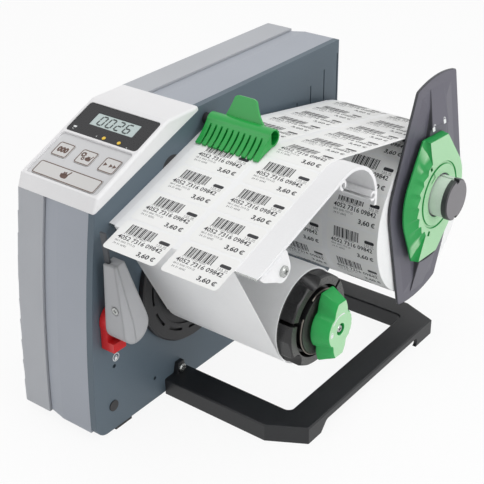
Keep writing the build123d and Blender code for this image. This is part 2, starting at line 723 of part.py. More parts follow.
def plate_profile():
    """Aluminium extrusion: sloping plate, curved nose and screw channels."""
    start = radians(90 + PLATE_SLOPE)
    stop = radians(NOSE_END)
    middle = (start + stop) / 2

    def on_nose(radius, angle):
        return (NOSE_Y + radius * cos(angle), NOSE_Z + radius * sin(angle))

    inner_r = NOSE_R - PLATE_T
    full_y = EDGE_Y + EDGE_TAPER + PLATE_T * sin(SLOPE)
    full = (full_y, EDGE_Z + EDGE_TAPER * tan(SLOPE) - PLATE_T * cos(SLOPE))
    edges = [
        Line((EDGE_Y, EDGE_Z), on_nose(NOSE_R, start)),
        ThreePointArc(on_nose(NOSE_R, start), on_nose(NOSE_R, middle), on_nose(NOSE_R, stop)),
        Line(on_nose(NOSE_R, stop), on_nose(inner_r, stop)),
        ThreePointArc(on_nose(inner_r, stop), on_nose(inner_r, middle), on_nose(inner_r, start)),
        Line(on_nose(inner_r, start), full),
        Line(full, (EDGE_Y, EDGE_Z - EDGE_T)),
        Line((EDGE_Y, EDGE_Z - EDGE_T), (EDGE_Y, EDGE_Z)),
    ]
    section = make_face(edges)
    for y, z in channel_centres():
        section += Pos(y, z) * Circle(CHANNEL_R + CHANNEL_WALL)
    front = channel_centres()[0]
    foot = PLATE.from_local_coords((0, BRACKET_ALONG, -PLATE_T / 2))
    stem = PLATE_T * 0.6
    section += face_of((foot.Y - stem, foot.Z), (foot.Y + stem, foot.Z),
                       (front[0] + stem, front[1]), (front[0] - stem, front[1]))
    for k, (y, z) in enumerate(channel_centres()):
        mouth = degrees(atan2(NOSE_Z - z, NOSE_Y - y)) if k else -90
        cut = Rot(0, 0, mouth) * Pos(CHANNEL_R + 2, 0) * Rectangle(CHANNEL_R * 2 + 4, CHANNEL_R)
        section -= Pos(y, z) * (Circle(CHANNEL_R) + cut)
    return slab(section, WALL_OUT, PLATE_END)


def edge_rise():
    """Slope of the plate's underside from its thin edge to full thickness."""
    y = EDGE_TAPER + PLATE_T * sin(SLOPE)
    return (EDGE_TAPER * tan(SLOPE) - PLATE_T * cos(SLOPE) + EDGE_T) / y


def edge_strip():
    """Steel wear strip round the dispensing edge."""
    tip = -STRIP_TIP
    back = -EDGE_T + edge_rise() * STRIP_D
    sketch = face_of((tip, tip * tan(SLOPE)), (0, 0), (0, -EDGE_T), (STRIP_D, back),
                     (STRIP_D, back - STRIP_T), (STRIP_TIP / 2, -EDGE_T - STRIP_T))
    return slab(Pos(EDGE_Y, EDGE_Z) * sketch, WALL_OUT + 0.4, PLATE_END - 0.4)


def end_bracket():
    """End plate screwed to the front channel, with a rounded lobe."""
    y, z = channel_centres()[0]
    along = BRACKET_ALONG + BRACKET_R
    a = PLATE.from_local_coords((0, 1.5, -PLATE_T + 0.6))
    b = PLATE.from_local_coords((0, along, -PLATE_T + 0.6))
    c = PLATE.from_local_coords((0, along, -BRACKET_DROP))
    d = PLATE.from_local_coords((0, 3.5, -PLATE_T - 3.4))
    heel = BRACKET_R * 0.7
    face = face_of((a.Y, a.Z), (b.Y, b.Z), (c.Y, c.Z), (y, z - BRACKET_R), (y - heel, z - heel), (d.Y, d.Z))
    face += Pos(y, z) * Circle(BRACKET_R)
    body = slab(face, PLATE_END, PLATE_END + BRACKET_T)
    return body - rod(y, z, CHANNEL_R, PLATE_END - 1, PLATE_END + BRACKET_T + 1)


def pan_head(y, z, x, r, t, length):
    """Pan-head screw along X with a cross recess; the head stands out from x."""
    head = rod(y, z, r, x, x + t)
    head = chamfer(head.edges().sort_by(Axis.X)[-1], t * 0.4)
    cross = slab(Pos(y, z) * (Rectangle(r, r * 0.26) + Rectangle(r * 0.26, r)), x + t * 0.55, x + t + 1)
    return head + rod(y, z, CHANNEL_R - 0.1, x - length, x + 0.2) - cross


def plate_screws():
    """Screw at the bracket and the three that hold the plate through the wall."""
    y, z = channel_centres()[0]
    screws = [pan_head(y, z, PLATE_END + BRACKET_T, 4.2, 2.6, 14)]
    for y, z in channel_centres():
        head = rod(y, z, 4.0, WALL_IN - 2.6, WALL_IN)
        screws.append(head + rod(y, z, CHANNEL_R - 0.1, WALL_IN - 1, WALL_OUT + 12))
    return screws


def tangent_to_roll(lift):
    """Ends and direction of the free span from the nose to the roll."""
    dy, dz = ROLL_Y - NOSE_Y, ROLL_Z - NOSE_Z
    angle = atan2(dz, dy) + asin((ROLL_R - NOSE_R - WEB_T) / hypot(dy, dz))
    ny, nz = -sin(angle), cos(angle)
    near = (NOSE_Y + (NOSE_R + lift) * ny, NOSE_Z + (NOSE_R + lift) * nz)
    far_r = ROLL_R - WEB_T + lift
    return near, (ROLL_Y + far_r * ny, ROLL_Z + far_r * nz), angle


def strip_over_nose(before, after, low, high):
    """Side outline of a strip from a length before the nose, round it and on along the free span."""
    near0, _, angle = tangent_to_roll(low)
    near1, _, _ = tangent_to_roll(high)
    start = radians(90 + PLATE_SLOPE)
    middle = (start + angle + pi / 2) / 2

    def on_nose(lift, a):
        return (NOSE_Y + (NOSE_R + lift) * cos(a), NOSE_Z + (NOSE_R + lift) * sin(a))

    def on_plate(lift):
        p = PLATE.from_local_coords((0, PLATE_RUN - before, lift))
        return (p.Y, p.Z)

    def on_span(near):
        return (near[0] + after * cos(angle), near[1] + after * sin(angle))

    return make_face([
        Line(on_plate(low), on_nose(low, start)),
        ThreePointArc(on_nose(low, start), on_nose(low, middle), near0),
        Line(near0, on_span(near0)),
        Line(on_span(near0), on_span(near1)),
        Line(on_span(near1), near1),
        ThreePointArc(near1, on_nose(high, middle), on_nose(high, start)),
        Line(on_nose(high, start), on_plate(high)),
        Line(on_plate(high), on_plate(low)),
    ])


def span_length():
    """Length of the web's free span from the nose to the roll."""
    near, far, _ = tangent_to_roll(0)
    return hypot(far[0] - near[0], far[1] - near[1])


def label_web():
    """Liner from the roll over the nose and down the plate to the edge."""
    before = PLATE_RUN + STRIP_T + 0.1
    return slab(strip_over_nose(before, span_length(), WEB_GAP, WEB_GAP + WEB_T), WEB_X, WEB_END)


def web_edge(lift):
    """Y and Z where the web turns round the edge, at a lift above the plate."""
    p = PLATE.from_local_coords((0, -STRIP_T - 0.1, lift))
    return (p.Y, p.Z)


def liner_return():
    """Empty liner from the edge down to the rewinder's lower front."""
    start = web_edge(WEB_GAP)
    fold = web_edge(WEB_GAP + WEB_T)
    dy, dz = REWIND_Y - start[0], REWIND_Z - start[1]
    reach = hypot(dy, dz)
    run = atan2(dz, dy) - asin(LINER_OUT_R / reach)
    length = sqrt(reach ** 2 - LINER_OUT_R ** 2)
    end = (start[0] + length * cos(run), start[1] + length * sin(run))
    ny, nz = sin(run) * WEB_T, -cos(run) * WEB_T
    sketch = face_of(start, end, (end[0] + ny, end[1] + nz), (start[0] + ny, start[1] + nz), fold)
    return slab(sketch, WEB_X, WEB_END)


def label_columns():
    """Centre X of each column of labels."""
    last = WEB_END - LABEL_MARGIN - LABEL_W / 2
    return [last - (LABEL_COLUMNS - 1 - k) * LABEL_PITCH_X for k in range(LABEL_COLUMNS)]


def label_at(plane, x, along):
    """One label lying on a plane."""
    sketch = Pos(x, along) * RectangleRounded(LABEL_W, LABEL_L, LABEL_R)
    return extrude(plane * sketch, amount=LABEL_T)


def dispensed_labels():
    """The row that already stands past the dispensing edge."""
    plane = PLATE.offset(WEB_GAP + WEB_T + 0.02)
    return [label_at(plane, x, LABEL_L / 2 - LABEL_OVERHANG) for x in label_columns()]


def web_labels():
    """Labels still on the liner: on the plate, over the nose and on the free span."""
    lift = WEB_GAP + WEB_T
    near, _, angle = tangent_to_roll(lift)
    nose_run = (NOSE_R + lift) * (radians(PLATE_SLOPE) - angle)
    span = Plane(origin=(0, near[0], near[1]), x_dir=(1, 0, 0), z_dir=(0, -sin(angle), cos(angle)))
    labels = []
    start = LABEL_PITCH - LABEL_OVERHANG
    while start + LABEL_L < PLATE_RUN + nose_run + span_length():
        on_span = start - PLATE_RUN - nose_run
        for x in label_columns():
            if start + LABEL_L < PLATE_RUN:
                labels.append(label_at(PLATE.offset(lift), x, start + LABEL_L / 2))
            elif on_span > 0:
                labels.append(label_at(span, x, on_span + LABEL_L / 2))
            else:
                sketch = strip_over_nose(PLATE_RUN - start, on_span + LABEL_L, lift, lift + LABEL_T)
                labels.append(slab(sketch, x - LABEL_W / 2, x + LABEL_W / 2))
        start += LABEL_PITCH
    return labels


def supply_boss():
    """Collar that fixes the tube to the wall."""
    ring = rod(SUPPLY_Y, SUPPLY_Z, BOSS_R, WALL_OUT, WALL_OUT + BOSS_T)
    ring = chamfer(ring.edges().sort_by(Axis.X)[-1], 1.2)
    return ring - rod(SUPPLY_Y, SUPPLY_Z, TUBE_R, WALL_OUT - 1, WALL_OUT + BOSS_T + 1)


def supply_tube():
    """Supply tube with a closed wall end and a slot along its top."""
    body = rod(SUPPLY_Y, SUPPLY_Z, TUBE_R, WALL_OUT, TUBE_END_X)
    body -= rod(SUPPLY_Y, SUPPLY_Z, TUBE_R - TUBE_WALL, WALL_OUT + 6, TUBE_END_X + 1)
    top = SUPPLY_Z + TUBE_R
    half = TUBE_SLOT_W / 2
    body -= block(WALL_OUT + BOSS_T, TUBE_END_X + 1, SUPPLY_Y - half, SUPPLY_Y + half, top - TUBE_SLOT_D, top + 1)
    return body + rod(SUPPLY_Y, SUPPLY_Z, 8, WALL_IN, WALL_OUT + 1)


def tube_cap():
    """End cap with a notch at the top and the bottom."""
    body = rod(SUPPLY_Y, SUPPLY_Z, CAP_R, TUBE_END_X, TUBE_END_X + CAP_T)
    body = chamfer(body.edges().sort_by(Axis.X)[-1], 1.0)
    body += rod(SUPPLY_Y, SUPPLY_Z, TUBE_R - TUBE_WALL, TUBE_END_X - 8, TUBE_END_X)
    for side in (-1, 1):
        middle = Pos(SUPPLY_Y, SUPPLY_Z + side * (CAP_R - CAP_NOTCH_D / 2 + 1))
        body -= slab(middle * Rectangle(CAP_NOTCH_W, CAP_NOTCH_D + 2), TUBE_END_X, TUBE_END_X + CAP_T + 1)
    return body


def roll_core():
    """Paper core that hangs on the tube."""
    return tube(ROLL_Y, ROLL_Z, CORE_IN_R, CORE_IN_R + CORE_WALL, WEB_X, WEB_END)


def label_roll():
    """Wound labels on their liner."""
    return tube(ROLL_Y, ROLL_Z, CORE_IN_R + CORE_WALL, ROLL_R - WEB_T, WEB_X, WEB_END)


def leaning(shape):
    """Turn a YZ sketch by the flange's lean and centre it on the tube."""
    return Pos(SUPPLY_Y, SUPPLY_Z) * Rot(0, 0, -FLANGE_LEAN) * shape


def blade_face():
    """Outline of the guide flange: curved ends and bent sides, the same after half a turn."""
    high, low = (FLANGE_END_HALF_W, FLANGE_HIGH), (-FLANGE_END_HALF_W, FLANGE_LOW)
    right, left = (FLANGE_BEND, 1.0), (-FLANGE_BEND, -1.0)
    back_high, back_low = (-high[0], -high[1]), (-low[0], -low[1])
    face = make_face([
        ThreePointArc(low, (0, FLANGE_CROWN), high),
        Line(high, right),
        Line(right, back_low),
        ThreePointArc(back_low, (0, -FLANGE_CROWN), back_high),
        Line(back_high, left),
        Line(left, low),
    ])
    bends = [v for v in face.vertices() if abs(v.X) > FLANGE_END_HALF_W + 1]
    face = fillet(bends, FLANGE_BEND_R)
    corners = [v for v in face.vertices() if abs(v.Y) > FLANGE_LOW - 1]
    return Pos(0, FLANGE_RAISE) * fillet(corners, FLANGE_CORNER_R)


def keel(turn):
    """Ramp that falls from the ring to a blunt tip near the blade's end."""
    low = FLANGE_X + FLANGE_SKIN
    root = NECK_R - 8
    plan = face_of((-KEEL_HALF_W, root), (KEEL_HALF_W, root),
                   (KEEL_TIP_HALF_W, KEEL_END), (-KEEL_TIP_HALF_W, KEEL_END))
    top = KEEL_RISE * (KEEL_END - root) / (KEEL_END - KEEL_FOOT)
    side = face_of((low - 0.5, root), (low + top, root), (low, KEEL_END), (low - 0.5, KEEL_END))
    prism = extrude(Plane.YZ.offset(low - 0.5) * plan, amount=top + 1)
    wedge = extrude(Plane.XZ.offset(-60) * side, amount=120)
    return Rot(turn, 0, 0) * (prism & wedge)


def flange_blade():
    """Guide flange: thin blade with a flat rim, a low dome, two ramps and the seat for the ring."""
    outline = blade_face()
    low = FLANGE_X + FLANGE_SKIN
    body = slab(leaning(outline), FLANGE_X, low)
    foot = Plane.YZ.offset(low) * leaning(inset(outline, RIM_BAND))
    crest = Plane.YZ.offset(low + DOME_RISE) * leaning(inset(outline, RIM_BAND + DOME_RUN))
    body += loft([foot, crest], ruled=True)
    for turn in (-FLANGE_LEAN, 180 - FLANGE_LEAN):
        body += Pos(0, SUPPLY_Y, SUPPLY_Z) * keel(turn)
    body += rod(SUPPLY_Y, SUPPLY_Z, NECK_R, FLANGE_X + 1, FLANGE_X + NECK_H)
    body -= rod(SUPPLY_Y, SUPPLY_Z, RING_REACH + 0.6, FLANGE_X + NECK_H, RING_X + RING_T + 9)
    body += rod(SUPPLY_Y, SUPPLY_Z, SLEEVE_R, FLANGE_X, RING_X + RING_T - 0.4)
    lip = RING_X + RING_T - RING_DISH_D
    body += rod(SUPPLY_Y, SUPPLY_Z, SLEEVE_R + RING_LIP, lip + 0.1, RING_X + RING_T - 0.4)
    return body - rod(SUPPLY_Y, SUPPLY_Z, TUBE_R + BORE_GAP, FLANGE_X - 1, RING_X + RING_T + 1)


def lobed_face(left_r, left_span, right_r, right_span, lobe):
    """Round face with one lobe above and one below: a left and a right arc and six lines."""
    y0, y1, z = lobe
    a, b = radians(left_span), radians(right_span)
    left, right = (-left_r * cos(a), left_r * sin(a)), (right_r * cos(b), right_r * sin(b))
    left_low, right_low = (left[0], -left[1]), (right[0], -right[1])
    return make_face([
        ThreePointArc(left_low, (-left_r, 0), left),
        Line(left, (y0, z)),
        Line((y0, z), (y1, z)),
        Line((y1, z), right),
        ThreePointArc(right, (right_r, 0), right_low),
        Line(right_low, (y1, -z)),
        Line((y1, -z), (y0, -z)),
        Line((y0, -z), left_low),
    ])


def grip(base, face, x, skirt, height):
    """Solid that rises straight, then tapers from one lobed outline to a smaller one."""
    body = slab(base, x, x + skirt)
    return body + loft([Plane.YZ.offset(x + skirt) * base, Plane.YZ.offset(x + height) * face], ruled=True)


def flange_ring():
    """Locking ring: tapered grip with finger dents, two lobes, a dish and three slots."""
    base = lobed_face(RING_BASE_R, 30, RING_BASE_RIGHT_R, 42, RING_LOBE)
    face = lobed_face(RING_FACE_R, 62, RING_FACE_RIGHT_R, 46, RING_LOBE_FACE)
    body = grip(base, face, RING_X, RING_BASE_T, RING_T)
    body -= rod(0, 0, RING_DISH_R, RING_X + RING_T - RING_DISH_D, RING_X + RING_T + 1)
    for k in range(RING_DENT_COUNT):
        angle = 180 + (k - (RING_DENT_COUNT - 1) / 2) * RING_DENT_PITCH
        place = Pos(RING_X + RING_T + 0.6, (RING_BASE_R + RING_FACE_R) / 2, 0)
        body -= Rot(angle, 0, 0) * place * Sphere(RING_DENT_R)
    for angle in (4, 124, 249):
        cut = Rot(0, 0, angle) * Pos(RING_FACE_R - 2.6, 0) * Rectangle(*RING_SLOT)
        body -= slab(cut, RING_X + RING_T - 2.4, RING_X + RING_T + 1)
    body -= rod(0, 0, SLEEVE_R + PIVOT_GAP, RING_X - 1, RING_X + RING_T + 1)
    return Pos(0, SUPPLY_Y, SUPPLY_Z) * Rot(-FLANGE_LEAN, 0, 0) * body


def at_rewinder(shape):
    """Move a shape drawn about the X axis to the rewinder's axis."""
    return Pos(0, REWIND_Y, REWIND_Z) * shape


def rewinder_disc():
    """Guide disc beside the wall with a ring of slots and a sunk middle."""
    body = rod(0, 0, DISC_R, DISC_X, DISC_X + DISC_T)
    body = chamfer(body.edges().sort_by(Axis.X)[-1], 1.2)
    body -= tube(0, 0, CARRIER_R, DISC_SLOT_R - 5, DISC_X + DISC_T - 1.2, DISC_X + DISC_T + 1)
    slot = Circle(DISC_SLOT_R + DISC_SLOT_W / 2) - Circle(DISC_SLOT_R - DISC_SLOT_W / 2)
    reach = DISC_R * tan(radians(DISC_SLOT_SPAN / 2))
    slot = slot & face_of((0, 0), (DISC_R, -reach), (DISC_R, reach))
    for k in range(DISC_SLOTS):
        body -= slab(Rot(0, 0, 360 / DISC_SLOTS * k) * slot, DISC_X + DISC_T - 2.4, DISC_X + DISC_T + 1)
    return at_rewinder(body - rod(0, 0, SHAFT_R, DISC_X - 1, DISC_X + DISC_T + 1))


def lug_boxes(grow, inner, outer):
    """Guide lugs at each segment's middle, or the slots for them when grown."""
    boxes = []
    for k in range(HUB_SPLITS):
        for x in LUG_X:
            lug = block(x - grow, x + LUG_L + grow, inner, outer, -LUG_W / 2 - grow, LUG_W / 2 + grow)
            boxes.append(Rot(segment_angle(k), 0, 0) * lug)
    return boxes


def segment_angle(k):
    """Direction of a segment's middle, counted from +Y towards +Z."""
    return HUB_PHASE + 360.0 / HUB_SPLITS * k


def hub_carrier():
    """Drum on the shaft that the three segments ride on, with the seat of the wire ring."""
    body = tube(0, 0, SHAFT_R, CARRIER_R, DISC_X + DISC_T, CARRIER_END_X)
    body += tube(0, 0, SHAFT_R, CLIP_R - CLIP_WIRE_R, CARRIER_END_X - 1, CLIP_SEAT_X)
    floor = CARRIER_R - LUG_DEPTH - SEGMENT_TRAVEL - LUG_GAP
    for box in lug_boxes(LUG_GAP, floor, CARRIER_R + 2):
        body -= box
    return at_rewinder(body)


def hub_segment(k):
    """One third of the expanding hub: shell with a faceted front, a grip notch and guide lugs."""
    start = DISC_X + DISC_T + LINER_GAP
    profile = face_of(
        (start, HUB_IN_R), (start, HUB_R), (HUB_END_X - HUB_CHAMFER, HUB_R),
        (HUB_END_X, HUB_R - HUB_CHAMFER), (HUB_END_X, HUB_IN_R)
    )
    shell = revolve(profile, Axis.X, 360)
    half = 180 / HUB_SPLITS
    flats = RegularPolygon(HUB_R, HUB_FLAT_COUNT, rotation=half)
    nose = slab(flats, WEB_END + LINER_GAP, HUB_END_X + 1)
    shell = (shell & slab(Circle(HUB_R + 1), start - 1, WEB_END + LINER_GAP)) + (shell & nose)
    reach = HUB_R * 3
    a = radians(half)
    wedge = face_of((0, 0), (reach * cos(a), -reach * sin(a)),
                    (reach * 1.2, 0), (reach * cos(a), reach * sin(a)))
    shift = SPLIT_W / 2 / sin(a)
    body = shell & slab(Pos(shift, 0) * wedge, start - 1, HUB_END_X + 1)
    notch = Rot(0, 0, -NOTCH_SLOPE) * Rot(0, 90, 0) * Cylinder(NOTCH_R, 4 * NOTCH_R)
    body -= Pos(HUB_END_X, HUB_R + NOTCH_LIFT, 0) * notch
    for x in LUG_X:
        body += block(x, x + LUG_L, CARRIER_R - LUG_DEPTH, HUB_IN_R + 1, -LUG_W / 2, LUG_W / 2)
    return at_rewinder(Rot(segment_angle(k), 0, 0) * body)


def wound_liner():
    """Empty liner wound on the hub."""
    return tube(REWIND_Y, REWIND_Z, LINER_IN_R, LINER_OUT_R, WEB_X + LINER_GAP, WEB_END)


def shaft_end():
    """X of the shaft's outer end inside the knob."""
    return KNOB_X + KNOB_T - KNOB_RECESS


def rewinder_shaft():
    """Drive shaft from the pulley through both bearings to the knob, tapped for its screw."""
    body = rod(REWIND_Y, REWIND_Z, SHAFT_R, SHAFT_START_X, shaft_end())
    return body - rod(REWIND_Y, REWIND_Z, CHANNEL_R, shaft_end() - 12, shaft_end() + 1)


def rewinder_bearings():
    """Two ball bearings in the wall's boss."""
    back = WALL_IN - BEARING_BOSS_L
    rings = []
    for x in (back, WALL_OUT - BEARING_W):
        ring = tube(REWIND_Y, REWIND_Z, SHAFT_R + PIVOT_GAP, BEARING_R, x, x + BEARING_W)
        seal = x + BEARING_W - 0.8
        groove = tube(REWIND_Y, REWIND_Z, SHAFT_R + 2.4, BEARING_R - 2.4, seal, seal + 2)
        rings.append(ring - groove)
    return rings


def clip_ring():
    """Open wire ring on the drum's seat, in front of the segments."""
    section = Plane.XY * Pos(CLIP_X, CLIP_R) * RegularPolygon(CLIP_WIRE_R, 6)
    return at_rewinder(Rot(CLIP_TURN, 0, 0) * revolve(section, Axis.X, 360 - CLIP_OPENING))


def rewinder_knob():
    """Release knob: collar, tapered grip with two lobes and finger dents, screw recess."""
    half_base, top_base = KNOB_LOBE
    half_face, top_face = KNOB_LOBE_FACE
    base = lobed_face(KNOB_BASE_R, 44, KNOB_BASE_R, 44, (-half_base, half_base, top_base))
    face = lobed_face(KNOB_FACE_R, 44, KNOB_FACE_R, 44, (-half_face, half_face, top_face))
    body = grip(base, face, KNOB_X, KNOB_SKIRT, KNOB_T)
    for side in (0, 180):
        for k in range(KNOB_DENT_COUNT):
            angle = side + (k - (KNOB_DENT_COUNT - 1) / 2) * 22
            place = Pos(KNOB_X + KNOB_T, KNOB_FACE_R + 1.2, 0)
            body -= Rot(angle, 0, 0) * place * Sphere(KNOB_DENT_R)
    body += rod(0, 0, KNOB_COLLAR_R, CLIP_SEAT_X + 0.3, KNOB_X + 1)
    body -= rod(0, 0, SHAFT_R + PIVOT_GAP, CARRIER_END_X - 1, KNOB_X + KNOB_T + 1)
    body -= rod(0, 0, SCREW_HEAD_R + SCREW_CLEAR, shaft_end(), KNOB_X + KNOB_T + 1)
    return at_rewinder(Rot(KNOB_TURN, 0, 0) * body)


def knob_screw():
    """Screw in the shaft's end that keeps the knob on."""
    head = pan_head(0, 0, shaft_end(), SCREW_HEAD_R, SCREW_HEAD_T, 10)
    return at_rewinder(head)


def belt_pulley(y, z, pitch_r, teeth, x0, hub_r, bore_r):
    """Toothed pulley with side flanges."""
    body = rod(0, 0, pitch_r, x0, x0 + BELT_W)
    gap = BELT_PITCH * 0.5
    for k in range(teeth):
        groove = Pos(pitch_r, 0) * Rectangle(TOOTH_D * 2, gap)
        body -= slab(Rot(0, 0, 360 / teeth * k) * groove, x0 - 1, x0 + BELT_W + 1)
    for x in (x0 - PULLEY_FLANGE, x0 + BELT_W):
        body += rod(0, 0, pitch_r + BELT_T + 0.6, x, x + PULLEY_FLANGE)
    if hub_r:
        body += rod(0, 0, hub_r, x0 + BELT_W, x0 + BELT_W + 4)
    return Pos(0, y, z) * (body - rod(0, 0, bore_r, x0 - 9, x0 + BELT_W + 9))


def rewinder_pulley():
    """Large belt pulley on the rewinder's shaft."""
    return belt_pulley(REWIND_Y, REWIND_Z, REWIND_PULLEY_R, REWIND_TEETH, BELT_X + 0.4, 0, SHAFT_R)


def motor_pulley():
    """Small pulley with the motor's shaft."""
    pulley = belt_pulley(MOTOR_Y, MOTOR_Z, MOTOR_PULLEY_R, MOTOR_TEETH, BELT_X + 0.4, 0, 1)
    return pulley + rod(MOTOR_Y, MOTOR_Z, MOTOR_SHAFT_R, SHAFT_START_X, WALL_IN - MOTOR_L + 4)


def drive_motor():
    """Motor on the inner side of the wall."""
    start = WALL_IN - MOTOR_L
    body = rod(MOTOR_Y, MOTOR_Z, MOTOR_R, start, WALL_IN)
    body = chamfer(body.edges().sort_by(Axis.X)[0], 1.5)
    flange = Pos(MOTOR_Y, MOTOR_Z) * RectangleRounded(MOTOR_R * 2.2, MOTOR_R * 2.2, 6)
    body += slab(flange, WALL_IN - 4, WALL_IN)
    return body - rod(MOTOR_Y, MOTOR_Z, MOTOR_SHAFT_R + PIVOT_GAP, start - 1, start + 6)


def belt_loop(extra):
    """Closed outline round both pulleys, at a distance outside their pitch circles."""
    dy, dz = MOTOR_Y - REWIND_Y, MOTOR_Z - REWIND_Z
    gap = hypot(dy, dz)
    r0, r1 = REWIND_PULLEY_R + extra, MOTOR_PULLEY_R + extra
    base = atan2(dz, dy)
    lean = acos((r0 - r1) / gap)

    def ends(side):
        a = base + side * lean
        on_large = (REWIND_Y + r0 * cos(a), REWIND_Z + r0 * sin(a))
        return on_large, (MOTOR_Y + r1 * cos(a), MOTOR_Z + r1 * sin(a))

    (p0, p1), (q0, q1) = ends(1), ends(-1)
    far0 = (REWIND_Y - r0 * cos(base), REWIND_Z - r0 * sin(base))
    far1 = (MOTOR_Y + r1 * cos(base), MOTOR_Z + r1 * sin(base))
    return make_face([Line(p0, p1), ThreePointArc(p1, far1, q1), Line(q1, q0), ThreePointArc(q0, far0, p0)])


def drive_belt():
    """Belt between the two pulleys."""
    loop = belt_loop(BELT_GAP + BELT_T) - belt_loop(BELT_GAP)
    return slab(loop, BELT_X + 0.7, BELT_X + BELT_W + 0.1)


def power_supply():
    """Supply board with transformer and finned heat sink, on four posts on the wall."""
    y0, z1 = HOUSING_L - PSU_REAR - PSU_L, HOUSING_H - PSU_TOP
    y1, z0 = y0 + PSU_L, z1 - PSU_H
    face = WALL_IN - PSU_STAND - PSU_BOARD_T
    body = block(face, WALL_IN - PSU_STAND, y0, y1, z0, z1)
    deep, long, high = COIL
    body += block(face - deep, face, y0 + 10, y0 + 10 + long, z0 + 8, z0 + 8 + high)
    deep, long, high = SINK
    body += block(face - deep, face, y0 + 10, y0 + 10 + long, z1 - high + SINK_T, z1 - high + 2 * SINK_T)
    for k in range(int(long // SINK_FIN_PITCH)):
        y = y0 + 12 + k * SINK_FIN_PITCH
        body += block(face - deep, face, y, y + SINK_T, z1 - high - 10, z1 - high + 2 * SINK_T)
    for y in (y0 + PSU_POST_INSET, y1 - PSU_POST_INSET):
        for z in (z0 + PSU_POST_INSET, z1 - PSU_POST_INSET):
            body += rod(y, z, PSU_POST_R, WALL_IN - PSU_STAND - 0.1, WALL_IN)
    return body


def rear_inlet():
    """Mains inlet with three pins and the frame of the switch."""
    y = HOUSING_L

    def box(z, half_w, half_h, y0, y1):
        return block(INLET_X - half_w, INLET_X + half_w, y0, y1, z - half_h, z + half_h)

    half_w, half_h = INLET_W / 2, INLET_H / 2
    low, high = INLET_Z - half_h - INLET_FLANGE, INLET_Z + ROCKER_RISE + ROCKER_H / 2 + INLET_FLANGE + 1
    outer = box((low + high) / 2, half_w + INLET_FLANGE, (high - low) / 2, y, y + 2)
    outer = fillet(outer.edges().filter_by(Axis.Y), 3)
    body = outer + box(INLET_Z, half_w, half_h, y - INLET_D, y)
    body += box(INLET_Z + ROCKER_RISE, ROCKER_W / 2 + 2, ROCKER_H / 2 + 2, y - INLET_D, y)
    body -= box(INLET_Z, half_w - 1.6, half_h - 1.6, y - INLET_D + 2, y + 3)
    body -= box(INLET_Z + ROCKER_RISE, ROCKER_W / 2 + 0.3, ROCKER_H / 2 + 0.3, y - INLET_D + 2, y + 3)
    for x, z in ((-7, -3), (0, 1), (7, -3)):
        body += block(INLET_X + x - 1, INLET_X + x + 1, y - INLET_D, y - 3, INLET_Z + z - 2.4, INLET_Z + z + 2.4)
    return body


def rocker_axis():
    """Y and Z of the switch rocker's hinge."""
    return HOUSING_L - 5.0, INLET_Z + ROCKER_RISE


def power_rocker():
    """Rocker with a hollowed face, pressed in at its upper end."""
    y, z = rocker_axis()
    half = ROCKER_H / 2 - 0.8
    outline = face_of((-3, -half + 2), (3, -half + 1), (6.6, -half), (5.0, 0),
                      (6.6, half), (3, half - 1), (-3, half - 2))
    body = slab(Pos(y, z) * outline, INLET_X - ROCKER_W / 2, INLET_X + ROCKER_W / 2)
    return turned(body, y, z, ROCKER_THROW)


def base_face(inner):
    """Top outline of the base frame; inner gives the open middle."""
    if inner:
        x = BASE_OUT_X - BASE_BAR_W
        sketch = face_of(
            (WALL_OUT - 1, BASE_FRONT_Y + BASE_LEG_W), (x, BASE_FRONT_Y + BASE_LEG_W),
            (x, BASE_REAR_Y - BASE_REAR_LEG_W), (WALL_OUT - 1, BASE_REAR_Y - BASE_REAR_LEG_W)
        )
        return fillet(sketch.vertices().sort_by(Axis.X)[-2:], BASE_INNER_R)
    return face_of(
        (WALL_OUT, BASE_FRONT_Y), (BASE_OUT_X - BASE_CHAMFER_X, BASE_FRONT_Y),
        (BASE_OUT_X, BASE_FRONT_Y + BASE_CHAMFER_Y), (BASE_OUT_X, BASE_REAR_Y - BASE_REAR_CHAMFER_Y),
        (BASE_OUT_X - BASE_CHAMFER_X, BASE_REAR_Y), (WALL_OUT, BASE_REAR_Y)
    )


def lug_places():
    """Y of the two lugs that hold the base frame to the wall."""
    return (BASE_FRONT_Y + BASE_LEG_W * 0.62, BASE_REAR_Y - BASE_REAR_LEG_W / 2)


def base_frame():
    """U-shaped base frame: hollow legs, arched side bar and wall lugs."""
    outline = base_face(False) - base_face(True)
    body = extrude(outline, amount=BASE_TOP_Z)
    top_edges = body.faces().sort_by(Axis.Z)[-1].edges()
    body = chamfer([e for e in top_edges if e.center().X > WALL_OUT + 1], 1.0)
    arch = face_of(
        (BASE_FRONT_Y + ARCH_MARGIN, -1), (BASE_FRONT_Y + ARCH_MARGIN + ARCH_Z, ARCH_Z),
        (BASE_REAR_Y - ARCH_MARGIN - ARCH_Z * 0.5, ARCH_Z), (BASE_REAR_Y - ARCH_MARGIN, -1)
    )
    arch = fillet(arch.vertices().sort_by(Axis.Y)[1:3], ARCH_R)
    body -= slab(arch, BASE_OUT_X - BASE_BAR_W - 6, BASE_OUT_X + 1)
    hollow = offset(outline, -BASE_WALL, kind=Kind.INTERSECTION)
    body -= extrude(Pos(0, 0, -1) * hollow, amount=1 + BASE_TOP_Z - BASE_WALL - 3)
    for y in lug_places():
        lug = face_of((y - LUG_HALF_W, BASE_TOP_Z - 3), (y - LUG_HALF_W * 0.5, BASE_TOP_Z + LUG_H),
                      (y + LUG_HALF_W * 0.5, BASE_TOP_Z + LUG_H), (y + LUG_HALF_W, BASE_TOP_Z - 3))
        body += slab(lug, WALL_OUT, WALL_OUT + LUG_T)
        body -= rod(y, BASE_SCREW_Z, CHANNEL_R, WALL_OUT - 1, WALL_OUT + LUG_T + 1)
    return body


